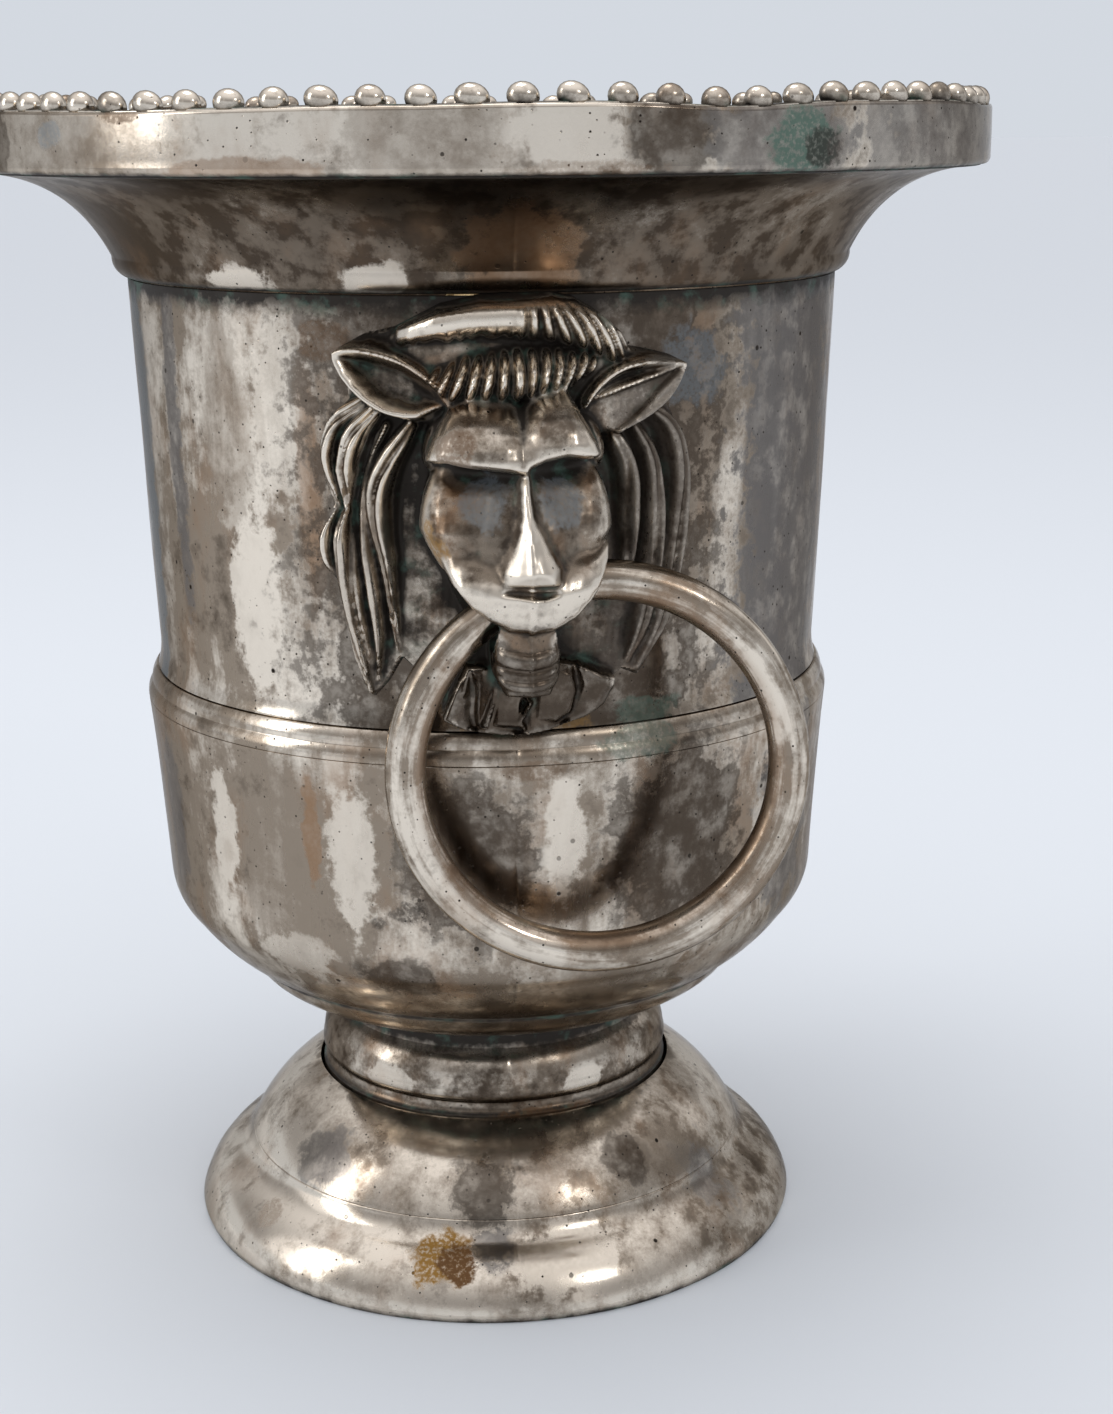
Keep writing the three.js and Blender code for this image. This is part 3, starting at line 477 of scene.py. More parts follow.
# Waist moulding: two rounds with a fine groove between them, a turned ring soldered between cup and
# drum and plated with the cup.
waist = turned("waist_ring", [
    (67.1, 117.95), *bow((72.1, 117.95), (71.2, 120.9), 0.3), *bow((71.2, 120.9), (70.2, 124), 0.3),
    (70.2, 124), (67.1, 124),
], uneven=0.07, rounding=0.15)
fitted(waist, cup_plate, "vessel", "waist_moulding")


# Drum: the upright wall that carries the masks, a little narrower above the waist. Cast and plated,
# with a painted dark reflection round the castings, grime and painted shade under the lip, upright
# wipe marks elsewhere, and lighter and darker patches of tarnish and painted reflection.
DRUM_OUTSIDE = [*bow((69.8, 124.1), (69, 130.1), -0.25), *bow((69, 130.1), (72.1, 204), 0.15, 30),
                (72.1, 204)]


def drum_radius(height):
    levels = np.array([z for _, z in DRUM_OUTSIDE])
    return np.interp(height, levels, [r for r, _ in DRUM_OUTSIDE])


drum = turned("drum_wall", [*DRUM_OUTSIDE, (69.7, 204), *bow((69.7, 204), (66.6, 130.1), 0.0, 12),
                            (66.6, 130.1), (67.4, 124.1)],
              hollows=[(72.2, 204.2, 5.0)], uneven=0.07, seam=0.12)
drum_plate = silver_plate("drum_plate", tarnish=-0.04, streaks=1.0, pits=1.0, brown=0.4, patches_and_painted_light=[
    (CLEAN_AND_SHEEN, (-49, -53, 146), 9.0, 3.4, 1), (DULLED_AND_SHADED, (-52, -49, 178), 8.0, 3, 0.6),
    (CLEAN_AND_SHEEN, (-42, -58, 182), 8.0, 3, 0.6), (GREYED_AND_SHADED, (-63, -35, 165), 4.0, 16, 0.85),
    (BLUISH, (-70, -17, 165), 7.0, 12, 0.85), (COPPERY, (-37, -62, 165), 4.0, 8, 0.6),
    (SMOKED_AND_SHADED, (2, -72, 166), 50.0, 4, 0.95), (SMOKED_AND_SHADED, (0, 72, 166), 50.0, 4, 0.95),
    (GREYED_AND_SHADED, (58, -43, 165), 24.0, 8, 0.95), (GREYED_AND_SHADED, (-60, 40, 165), 24.0, 3, 0.7),
    (GREYED_AND_SHADED, (-72, 0, 165), 9.0, 12, 0.8),
], stains=[
    (BLUISH, (34, -63, 190), 9.0, 1, 0.45), (GOLDEN, (2, -70, 126), 16.0, 0.2, 0.5),
    (VERDIGRIS, (26, -66, 126), 9.0, 0.4, 0.5), (RUSTY_AND_SHADED, (-33, -63, 196), 6.0, 0.7, 0.4),
])
fitted(drum, drum_plate, "vessel", "drum")


# Mouth flare: a rounded lip that overhangs the drum, then a concave sweep out to the rim. Cast and
# plated, soldered inside the rim band, darkened all over with smoke and painted shade as an underside,
# blackest with grime and painted shade at both its edges, and with painted highlights on its lip.
flare = turned("mouth_flare_shell", [
    *bow((72.8, 204.3), (75, 208.2), 0.7), *bow((75, 208.2), (100.3, 224.7), -4.6, 30), (100.3, 224.7),
    *bow((100.3, 227), (72.7, 209.5), 4.6, 24), (72.7, 209.5), (69.7, 206.3), (69.7, 204.3),
], hollows=[(72.8, 204.3, 1.6), (100.3, 224.7, 4.0)], uneven=0.07, seam=0.12)
flare_plate = silver_plate("flare_plate", tarnish=0.7, smoke_and_shade=1.0, streaks=0.1, pits=0.9, brown=0.2, patches_and_painted_light=[
    (COPPERY, (2, -78, 211), 13.0, 1, 0.6), (CLEAN_AND_SHEEN, (-48, -57, 206), 9.0, 0.4, 0.8),
    (CLEAN_AND_SHEEN, (-24, -71, 207), 7.0, 0.6, 0.75),
])
fitted(flare, flare_plate, "vessel", "mouth_flare")


# Rim band: the upright ring round the mouth, turned in at the top as a ledge for the beads. Its
# top edge has been knocked wavy, and corrosion has taken hold in patches.
KNOCKS = ((-44, 22, 1.0), (-10, 8, 0.6), (21, 9, 0.9), (64, 12, 0.4))  # bearing and breadth in degrees, depth


def points_of(made):
    """The object's points in millimetres."""
    return np.array([v.co for v in made.data.vertices]) / MM


def rim_dip(angle):
    """How far the rim's top edge has been knocked down, in millimetres."""
    wave = 0.1 * (np.sin(7 * angle + 0.8) + 0.8 * np.sin(11 * angle + 2.1) + 0.6 * np.sin(17 * angle) - 2.4)
    for bearing, breadth, deep in KNOCKS:
        away = np.mod(np.degrees(angle) + 90 - bearing + 180, 360) - 180
        wave = wave - deep * np.exp(-(away / breadth) ** 2)
    return wave


band = turned("rim_band_ring", [
    (100.6, 225), *bow((101.2, 225), (102, 226.6), 0.3), *bow((102, 226.6), (102, 235.4), 0.05, 8),
    (102, 236.2), (101.7, 236.7), (101.2, 236.7), (101.1, 236), (96.5, 236), (96.5, 234), (100.6, 234),
], hollows=[(100.8, 225, 1.4), (97, 236.2, 1.5)], uneven=0.04, seam=0.12)
band_points = points_of(band)
share = np.clip((band_points[:, 2] - 228) / 8, 0, 1)
band_points[:, 2] += share * rim_dip(np.arctan2(band_points[:, 1], band_points[:, 0]))
band.data.vertices.foreach_set("co", (band_points * MM).reshape(-1).astype(np.float32))
# Its lighter and darker patches round the front are tarnish and painted reflection, and its joint with the
# flare and the ledge under the beads are painted dark as shade.
band_plate = silver_plate("band_plate", tarnish=-0.08, streaks=0.1, pits=1.0, brown=0.35, patches_and_painted_light=[
    (DULLED_AND_SHADED, (-80, -62, 231), 34.0, 1, 0.5), (DULLED_AND_SHADED, (-16, -101, 231), 14.0, 1, 0.55),
    (CLEAN_AND_SHEEN, (8, -101, 231), 12.0, 1, 0.9), (SMOKED_AND_SHADED, (24, -99, 231), 10.0, 1, 0.85),
    (GREYED_AND_SHADED, (45, -92, 231), 18.0, 1, 0.7), (GREYED_AND_SHADED, (80, -64, 231), 34.0, 1, 0.75),
    (SMOKED_AND_SHADED, (-91, -47, 231), 9.0, 1, 0.7), (COPPERY, (-44, -92, 226), 20.0, 0.14, 0.6),
], stains=[
    (VERDIGRIS, (48, -90, 230), 9.0, 0.7, 0.9), (SOOTED_AND_SHADED, (52, -88, 229), 5.0, 0.8, 0.8),
    (BLUISH, (-79, -64, 232), 4.0, 0.7, 0.6), (RUSTY_AND_SHADED, (-66, -78, 235), 6.0, 0.3, 0.5),
    (RUSTY_AND_SHADED, (10, -102, 226), 16.0, 0.12, 0.4), (SOOTED_AND_SHADED, (-95, -38, 234), 4.0, 1, 0.6),
])
fitted(band, band_plate, "vessel", "rim_band")


# Bead border: one row of round beads on a thin strip, rolled as a length, bent into a ring and
# soldered on the ledge. The beads are rubbed bright, and their lower halves and the strip between
# them are painted dark, green and black, with grime and painted shade.
BEAD_COUNT = 76
BEAD_ROW = 99.3
BEAD_RADIUS = 2.35
BEAD_SEAT = -0.95
BEAD_HEIGHT = 237.8


def bead_border():
    points, grime_and_shade = [], []
    strip = eased([(96.9, 236.1), (101, 236.1), (101, 237), (96.9, 237)], 0.2)
    steps = 4 * BEAD_COUNT
    for i in range(steps):
        angle = 2 * math.pi * i / steps
        dip = rim_dip(angle)
        points += [(r * math.cos(angle), r * math.sin(angle), z + dip) for r, z in strip]
        grime_and_shade += [0.7 if r < 101 else 0.1 for r, _ in strip]
    faces = skin(steps, len(strip))
    rng = np.random.default_rng(12)
    rings, around = 9, 20
    for i in range(BEAD_COUNT):
        angle = 2 * math.pi * i / BEAD_COUNT
        dip = float(rim_dip(angle)) - abs(rng.normal(0, 0.05))
        long, wide = BEAD_RADIUS * rng.uniform(1.1, 1.28), BEAD_RADIUS * rng.uniform(0.88, 1.0)
        lean = float(np.clip(rng.normal(0.25, 0.14), -0.1, 0.42))
        start = len(points)
        for ring in range(rings):
            level = ring / (rings - 1)
            tilt = BEAD_SEAT + level * (math.pi / 2 - BEAD_SEAT)
            spread = math.cos(tilt) if ring < rings - 1 else 0.0
            for k in range(around if spread else 1):
                turn = 2 * math.pi * k / around
                outward = BEAD_ROW + wide * spread * math.cos(turn)
                aside, above = long * spread * math.sin(turn), BEAD_RADIUS * math.sin(tilt)
                along = aside * math.cos(lean) + above * math.sin(lean)
                rise = BEAD_HEIGHT + above * math.cos(lean) - aside * math.sin(lean) + dip
                points.append((outward * math.cos(angle) - along * math.sin(angle),
                               outward * math.sin(angle) + along * math.cos(angle), rise))
                grime_and_shade.append(max(0.0, 0.9 - 1.9 * level))
        for ring in range(rings - 2):
            a, b = start + ring * around, start + (ring + 1) * around
            faces += [(a + k, a + (k + 1) % around, b + (k + 1) % around, b + k) for k in range(around)]
        last, tip = start + (rings - 2) * around, start + (rings - 1) * around
        faces += [(last + k, last + (k + 1) % around, tip) for k in range(around)]
        faces.append(tuple(start + k for k in reversed(range(around))))
    made = finished_mesh("rim_beads", points, faces, 40)
    keep_share(made, "grime_and_shade", np.array(grime_and_shade))
    return made


beads = bead_border()
bead_plate = silver_plate("bead_plate", tarnish=-0.35, streaks=0.0, pits=0.6, brown=0.3)
fitted(beads, bead_plate, "vessel", "bead_border")


# Handle masks: two castings of an animal-eared grotesque, with hair roll, fringe, long locks, a
# wedge nose and a small draped bust. Each is bolted to the drum, and the ring handle runs through
# an eye behind its chin. Rubbed bright on its high places, with painted highlights there, and black
# in its hollows with grime and painted shade.
GRID = 0.27
ACROSS = np.arange(-36, 35.01, GRID)
UP = np.arange(-1.5, 81, GRID)
across, up = np.meshgrid(ACROSS, UP, indexing="ij")
EYE_RADIUS = 8.5
EYE_OUT = 80
EYE_WIDTH = 38
EYE_UP = 25.4
MASK_BOTTOM = 124.4
MOULD_SEAM = 0.75
WRAP_RADIUS = 69
WIRE = 3.74
RING = 35.2
WIRE_PLAY = 0.3
LIFTED = (88, 94, 100, 105)

MASK_EDGE = [
    (-20, 74.2), (-12.2, 78.3), (-5.4, 79.9), (1.5, 80.2), (6, 80.3), (10, 79.4), (14, 77), (17.6, 73.6),
    (19.5, 70.4), (23.5, 69.6), (28, 68.4), (28.6, 66.2), (26.6, 62.4), (28.8, 58), (31, 52), (31.2, 44),
    (30.4, 34), (28.6, 22), (26.6, 14), (23.2, 9), (19.6, 10.6), (17.6, 8.4), (15.5, 4.6), (11.3, 2.3),
    (6, 0.6), (1, -0.4), (-5, 0.1), (-10, 0.9), (-13.2, 2.6), (-14, 7.4), (-20.4, 13.8), (-23.4, 9),
    (-26, 6.1), (-28.2, 8.4), (-29.8, 20), (-31.6, 27), (-34.6, 31), (-34.9, 36), (-31.6, 41.2),
    (-33.6, 46), (-33.6, 53), (-31.4, 57.8), (-28.4, 61.4), (-28.8, 66), (-29.3, 70.8), (-25.4, 72.9),
]


def nearest(start, end):
    """For every grid point: its nearest place on a straight line, 0 to 1, and how far away that is."""
    (u0, v0), (u1, v1) = start, end
    du, dv = u1 - u0, v1 - v0
    t = np.clip(((across - u0) * du + (up - v0) * dv) / (du * du + dv * dv), 0, 1)
    return t, np.hypot(across - u0 - t * du, up - v0 - t * dv)


def outline_distance(corners):
    """Distance of every grid point from an outline, above 0 inside it."""
    corners = np.array(corners, float)
    away = np.full(across.shape, 1e9)
    inside = np.zeros(across.shape, bool)
    for (u0, v0), (u1, v1) in zip(corners, np.roll(corners, -1, 0)):
        away = np.minimum(away, nearest((u0, v0), (u1, v1))[1])
        crosses = (v0 > up) != (v1 > up)
        if v1 != v0:
            inside ^= crosses & (across < u0 + (up - v0) / (v1 - v0) * (u1 - u0))
    return np.where(inside, away, -away)


def softened(field, reach):
    """The field blurred over a reach in millimetres."""
    steps = max(1, int(round(3 * reach / GRID)))
    weights = np.exp(-0.5 * (np.arange(-steps, steps + 1) * GRID / reach) ** 2)
    weights /= weights.sum()
    padded = np.pad(field, steps, mode="edge")
    rows = sum(w * padded[i:i + field.shape[0]] for i, w in enumerate(weights))
    return sum(w * rows[:, i:i + field.shape[1]] for i, w in enumerate(weights))


def from_line(points, widths, lifts):
    """For every grid point: its share of the half width from a line, the side it is on, its place
    along the line and the line's lift there."""
    points = np.array(points, float)
    share = np.concatenate([[0], np.cumsum(np.hypot(*np.diff(points, axis=0).T))])
    share /= share[-1]
    widths = np.interp(share, np.linspace(0, 1, len(widths)), widths)
    lifts = np.interp(share, np.linspace(0, 1, len(lifts)), lifts)
    near = np.full(across.shape, 1e9)
    side, place, crown = np.zeros(across.shape), np.zeros(across.shape), np.zeros(across.shape)
    for i in range(len(points) - 1):
        (u0, v0), (u1, v1) = points[i], points[i + 1]
        t, away = nearest(points[i], points[i + 1])
        off = away / (widths[i] + (widths[i + 1] - widths[i]) * t)
        nearer = off < near
        sign = np.where((across - u0) * (v1 - v0) - (up - v0) * (u1 - u0) > 0, 1.0, -1.0)
        side = np.where(nearer, sign * off, side)
        place = np.where(nearer, share[i] + (share[i + 1] - share[i]) * t, place)
        crown = np.where(nearer, lifts[i] + (lifts[i + 1] - lifts[i]) * t, crown)
        near = np.minimum(near, off)
    return near, side, place, crown


def flowing(corners):
    """A line drawn smoothly through the given places, in five steps from each to the next."""
    corners = np.array(corners, float)
    ends = np.vstack([2 * corners[0] - corners[1], corners, 2 * corners[-1] - corners[-2]])
    line = []
    for a, b, c, d in zip(ends, ends[1:], ends[2:], ends[3:]):
        for t in np.arange(5) / 5:
            line.append(b + 0.5 * t * (c - a + t * (2 * a - 5 * b + 4 * c - d + t * (3 * b - a - 3 * c + d))))
    return np.array(line + [corners[-1]])


def swell(near, fullness):
    """The rounded section of a lock or fold: 1 on its line and 0 at its edge."""
    return np.clip(1 - near ** 2, 0, 1) ** fullness


def rod(points, widths, lifts, foot=0.0):
    """A rounded rim or fold along a line."""
    near, _, _, crown = from_line(points, widths, lifts)
    return np.where(near < 1, foot + (crown - foot) * swell(near, 0.5), -9)


def pillow(corners, crown, rounding, drop):
    """A face of lift crown inside an outline, rounded off by drop towards its edge."""
    inward = outline_distance(corners)
    t = 1 - np.clip(inward / rounding, 0, 1)
    return np.where(inward > 0, crown - drop * (1 - np.sqrt(np.clip(1 - t * t, 0, 1))), -9)


def mound(u, v, half_width, half_height, crown, lean=0.0):
    """A smooth dome with a broad top, turned by lean degrees."""
    turn = math.radians(lean)
    a = ((across - u) * math.cos(turn) + (up - v) * math.sin(turn)) / half_width
    b = (-(across - u) * math.sin(turn) + (up - v) * math.cos(turn)) / half_height
    reach = a * a + b * b
    return np.where(reach < 1, crown * np.clip(1 - reach, 0, 1) ** 0.4, -9)


def step(value, low, high):
    t = np.clip((value - low) / (high - low), 0, 1)
    return t * t * (3 - 2 * t)


def hollow(u, v, wide, tall):
    return np.exp(-((across - u) / wide) ** 2 - ((up - v) / tall) ** 2)


def merged(first, second, blend):
    """The higher of two faces, with a fillet where they meet."""
    return 0.5 * (first + second + np.sqrt((first - second) ** 2 + blend ** 2)) - 0.15 * blend


def lock(relief, points, widths, lifts, strands, depth, shift):
    """A lock of hair laid over the relief, combed into strands along its length."""
    near, side, place, crown = from_line(flowing(points), widths, lifts)
    lift = crown * swell(near, 0.5)
    strand = 0.5 * strands * (side + 1) + shift + 0.16 * np.sin(7 * place + 1)
    tuft = np.floor(strand)
    groove = np.abs(2 * (strand - tuft) - 1) ** 2.8
    lift = lift + 0.35 * np.sin(2.4 * tuft + 3 * place) - depth * groove
    return np.where(near < 1, np.maximum(relief, lift), relief)


def mask_relief():
    """Height of the mask above the drum's wall, in millimetres."""
    relief = 1.6 + 0.4 * np.sin(0.5 * across + 1) * np.sin(0.45 * up)
    relief = np.maximum(relief, mound(-0.5, 67.0, 23, 12.4, 8.6))

    # Locks: broad flat strands down both sides of the face, each lock a long leaf. A row holds a lock's
    # line from the root, half widths, lifts, number of strands, and depth and shift of the grooves.
    for points, widths, lifts, strands, depth, shift in (
        ([(-31.0, 41.8), (-33.0, 37.5), (-32.8, 32), (-30.6, 26.4)],
         [0.7, 1.9, 1.9, 0.5], [3.6, 5.0, 4.6, 1.5], 1.6, 1.5, 0),
        ([(-24.6, 61.4), (-29.6, 57.4), (-31.6, 51.4), (-31.0, 45), (-30.2, 40.6)],
         [1.6, 2.3, 2.1, 1.6, 0.7], [4.5, 6.2, 6.2, 5.0, 3], 1.7, 1.7, 0),
        ([(-22.4, 60.6), (-26.0, 56), (-27.8, 49), (-28.4, 42.4)],
         [1.6, 2.7, 2.7, 1.0], [5.6, 8.2, 8.0, 5.4], 2.2, 2.0, 0),
        ([(-27.8, 43.4), (-29.0, 38), (-28.8, 32), (-28.0, 24), (-26.8, 14), (-26.1, 7.0)],
         [0.9, 2.6, 2.9, 2.6, 2.0, 0.6], [5.0, 7.4, 7.6, 7.2, 6.0, 3.8], 2.2, 2.0, 0.4),
        ([(-21.4, 57), (-24.2, 51), (-25.4, 44), (-25.2, 36), (-24.4, 27), (-24.2, 18), (-25.0, 9.5)],
         [0.8, 1.7, 1.9, 2.1, 2.1, 1.7, 0.5], [4.0, 4.8, 5.2, 6.2, 6.2, 5.2, 2.8], 1.4, 1.7, 0),
        ([(-15.6, 59.0), (-17.8, 55.6), (-20.6, 51), (-22.4, 46), (-22.6, 40), (-21.8, 32), (-21.4, 24),
          (-20.9, 14.5)],
         [0.9, 2.2, 2.6, 2.5, 2.0, 1.4, 1.1, 0.5], [6.8, 8.4, 8.8, 8.2, 6.8, 5.6, 4.6, 2.4], 1.7, 2.2, 0.2),
        ([(22, 60), (26.5, 56), (28.6, 49), (28.6, 40), (27.6, 30), (25.8, 20), (22.6, 11)],
         [1.6, 2.6, 2.6, 2.9, 2.8, 2.4, 0.9], [4.6, 6.2, 6.6, 6.6, 6.2, 5.4, 3.4], 2.4, 1.4, 0),
        ([(20, 57), (22.8, 51), (24.0, 43), (24.2, 34), (23.4, 25), (21.8, 17), (20.4, 12.5)],
         [1.4, 2.3, 2.5, 2.5, 2.5, 2.3, 1.0], [5.0, 6.4, 6.8, 6.6, 6.0, 5.2, 3.2], 2.2, 1.4, 0),
        ([(14.6, 58), (16.8, 54), (18.8, 49), (19.6, 42), (19.8, 34), (19.6, 26)],
         [1.1, 1.9, 2.2, 2.2, 1.7, 0.8], [6.2, 7.6, 7.6, 6.6, 5.2, 3.4], 1.7, 1.5, 0),
    ):
        relief = lock(relief, points, widths, lifts, strands, depth, shift)

    # Head: an egg that stands well out of the plate, eye hollows painted dark as shade, full cheeks and a jaw
    # rubbed bright with a painted highlight
    jaw = [(-12.4, 37.6), (-10.6, 33.4), (-9.2, 30.4), (-7.2, 27.4), (-4.6, 24.8), (-1.8, 23.2), (1.2, 22.6),
           (4.4, 23.2), (7.2, 25.2), (9.4, 28.2), (11.3, 31.8), (12.8, 35.4), (13.2, 37.6)]
    chin = outline_distance(jaw)
    narrow = 0.42 * np.clip(40 - up, 0, 8)
    wide = np.where(across < -0.2, 15.2, 14.8) - narrow
    tall = np.where(up < 38, 19.0, 20.5)
    egg = np.clip(1 - np.abs((across + 0.2) / wide) ** 2.3 - np.abs((up - 38) / tall) ** 2.3, 0, 1)
    face = np.where(egg > 0, 6.5 + 15.5 * egg ** 0.45, -9)
    face = face - 3.6 * (hollow(-6.0, 46.6, 5.2, 4.6) + hollow(6.2, 47.2, 4.8, 4.4))
    face = face - 4.0 * (hollow(-6.2, 50.0, 5.6, 2.2) + hollow(6.2, 50.6, 5.0, 2.2))
    face = face - 1.5 * (hollow(-6.2, 38.0, 2.4, 5.6) + hollow(7.6, 38.6, 2.2, 5.6))
    face = np.where((chin < 0) & (up < 35), np.minimum(face, 16.0), face)
    relief = np.maximum(relief, face)
    turn = 1 - np.clip(chin / 5.0, 0, 1)
    round_jaw = 24.6 - 0.012 * (across - 0.8) ** 2 - 3.8 * (1 - np.sqrt(np.clip(1 - turn * turn, 0, 1)))
    round_jaw = round_jaw - 6.5 * step(up, 29.5, 40)
    relief = np.where((chin > 0) & (up < 38), merged(relief, round_jaw, 1.2), relief)
    near, _, _, deep = from_line([(-2.4, 30.6), (-0.8, 30.5), (0.9, 30.2), (2.6, 30.1), (4.0, 30.4)],
                                 [0.5, 0.6, 0.7, 0.7, 0.5], [0.7, 1.1, 1.4, 1.3, 0.7])
    relief = relief - np.where(near < 1, deep * swell(near, 0.7), 0)

    # Neck with its rolled collar, and the draped bust below
    bust = [(-8.9, 13.4), (-11.0, 8.6), (-13.3, 3.0), (-9.2, 0.9), (-4.9, 0.1), (1.1, -0.5), (6.4, 0.6),
            (11.3, 2.3), (15.5, 4.6), (17.4, 8.4), (17.4, 10.4), (14.6, 11.4), (11.2, 13.2), (5, 15)]
    cloth = 5.2 + 0.10 * (up - 2)
    folds = np.abs(np.sin(0.34 * (across - 0.7) * (1 + 0.02 * (12 - up)) + 0.2 * np.sin(0.5 * up)))
    for fold in (
        pillow(bust, cloth + 2.2 * folds - 1.2, 1.2, 2.0),
        rod([(-8.2, 12.6), (-9.0, 8.6), (-11.2, 4.4)], [0.7, 1.0, 0.8], [6.0, 6.6, 5.6]),
        rod([(-3.4, 12), (-4.2, 6.6), (-5.4, 2.4)], [0.5, 0.8, 0.9], [7.4, 8.0, 7.0]),
        pillow([(-3.2, 12.6), (-4.0, 2.4), (0.4, 1.8), (1.1, 12.6)], 7.4, 0.9, 1.2),
        rod([(1.7, 12.4), (0.9, 8.8), (2.0, 6.4), (0.3, 3.2), (1.0, 1.4)], [0.7, 0.6, 0.7, 0.6, 0.6],
            [8.0, 8.8, 8.0, 8.6, 7.0]),
        pillow([(3.6, 12.4), (3.0, 3.0), (6.4, 2.6), (9.2, 4.2), (10.2, 8.4), (9.4, 12.0), (6.8, 13.4)],
               7.2, 1.6, 1.6),
        rod([(10.6, 12.8), (11.6, 9.6), (11.0, 5.4)], [0.8, 0.9, 0.8], [6.4, 6.8, 5.6]),
        pillow([(11.8, 11.6), (12.2, 5.4), (15, 6.2), (16.8, 8.8), (15.6, 10.8)], 5.4, 1.4, 1.6),
        rod([(-13.2, 3.2), (-9.2, 1.5), (-4.9, 0.7), (1.1, 0.2), (6.4, 1.3), (10.4, 2.7), (15.0, 5.2)],
            [0.6], [5.6]),
    ):
        relief = np.maximum(relief, fold)
    throat = 20.8 - 0.13 * (across - 0.6) ** 2
    neck = [(-3.8, 26), (-4.4, 19), (-4.5, 14.6), (-2.8, 10.6), (4, 10.4), (5.6, 14.4), (5.6, 19), (5, 26)]
    relief = np.maximum(relief, pillow(neck, throat, 1.6, 2.4))
    for height, wide, proud in ((18.4, 1.5, 1.0), (15.8, 0.8, 0.5), (13.8, 0.9, 0.7)):
        low = height - 0.9 + 0.045 * (across - 0.6) ** 2
        collar = np.clip(1 - ((up - low) / wide) ** 2, 0, 1)
        relief = np.where(relief > 14, relief + proud * np.sqrt(collar) * (np.abs(across - 0.6) < 6), relief)

    # Nose: a wedge with a sharp ridge, from between the brows down to a broad tip with a small facet
    down = np.clip((52.0 - up) / 18.5, 0, 1)
    axis = np.interp(up, [31, 33.3, 36, 39.1, 42.3, 46.7, 51.1], [2.0, 1.9, 1.5, 0.9, 0.6, 0.3, 0.3])
    left = np.interp(up, [31.4, 32.4, 34.5, 37.2, 41.2, 47, 52], [-2.6, -3.9, -4.3, -4.1, -3.3, -1.4, -0.6])
    right = np.interp(up, [31.2, 32.2, 34.5, 39.2, 43.3, 46.9, 52], [4.2, 5.3, 5.6, 4.9, 3.4, 2.2, 1.2])
    half = np.where(across < axis, axis - left, right - axis)
    off = np.clip(np.abs(across - axis) / half, 0, 9)
    ridge = 18.6 + 9.4 * down ** 0.85
    foot = np.interp(up, [31, 34, 38, 44, 52], [22.4, 20.6, 17.6, 14.6, 17.0])
    wedge = foot + (ridge - foot) * (1 - off ** 1.6)
    under = 28.3 - 0.75 * np.clip(35.4 - up, 0, 9) - 0.10 * (across - 1.9) ** 2
    wedge = np.minimum(wedge, np.where(up < 35.2, under, 99))
    relief = np.where((off < 1) & (up > 31.8) & (up < 52), merged(relief, wedge, 0.4), relief)

    # Brows: two heavy lobes, fullest at their lower edge, that overhang the eye hollows
    for sill, middle, outer, inner, turned_left in (
        ([(-13.4, 50.6), (-12.3, 51.3), (-10, 51.9), (-7.4, 51.3), (-4.4, 50.8), (-1.8, 50.3), (0.8, 49.4)],
         -4.4, 9.2, 7.6, True),
        ([(0.0, 49.4), (0.8, 50.4), (2.9, 52.0), (5.6, 52.8), (7.6, 52.4), (11.2, 51.7)],
         5.2, 6.4, 7.0, False),
    ):
        sill = np.array(sill)
        above = up - np.interp(across, sill[:, 0], sill[:, 1])
        beyond = (across < middle) == turned_left
        a = np.abs(across - middle) / np.where(beyond, outer - 0.36 * np.clip(above - 2, 0, 9), inner)
        b = np.where(above < 2.0, (2.0 - above) / 2.1, (above - 2.0) / 11.4)
        dome = np.clip(1 - a ** 3.4 - np.clip(b, 0, 9) ** 2.2, 0, 1)
        on_side = (across < 0.95) if turned_left else (across > 0.55)
        lobe = 12.0 + 10.2 * dome ** 0.55 - 0.12 * np.clip(above - 2, 0, 9) ** 1.5
        relief = np.where(on_side & (dome > 0), np.maximum(relief, lobe), relief)

    relief = np.maximum(relief, mound(-11.8, 54.5, 3.0, 6.0, 11.0, -18))
    relief = np.maximum(relief, mound(11.4, 54.5, 2.8, 6.0, 11.0, 16))

    # Fringe: a comb of short teeth that curve down over the brows
    near, _, _, crown = from_line([(-11.4, 64.6), (-6.4, 65.8), (0, 66.6), (5.0, 67.2), (10.2, 68.4)],
                                  [3.6, 4.9, 5.4, 4.9, 2.6], [14.8, 17.4, 18.4, 17.4, 13.8])
    bent = across - 0.034 * np.abs(across) * (up - 66)
    pitch = np.where(across > 0.9, 1.75, 2.05)
    tooth = np.abs(np.sin(math.pi * (bent - 0.9) / pitch))
    fall = swell(near, 0.35) * crown - 0.10 * np.clip(up - 65, 0, 8) ** 1.4
    fall = fall - 4.4 * (1 - tooth ** 0.7) - 7.0 * (1 - tooth) ** 1.5 * step(-up, -63.8, -61.2)
    relief = np.where((near < 1) & (fall > relief), fall, relief)

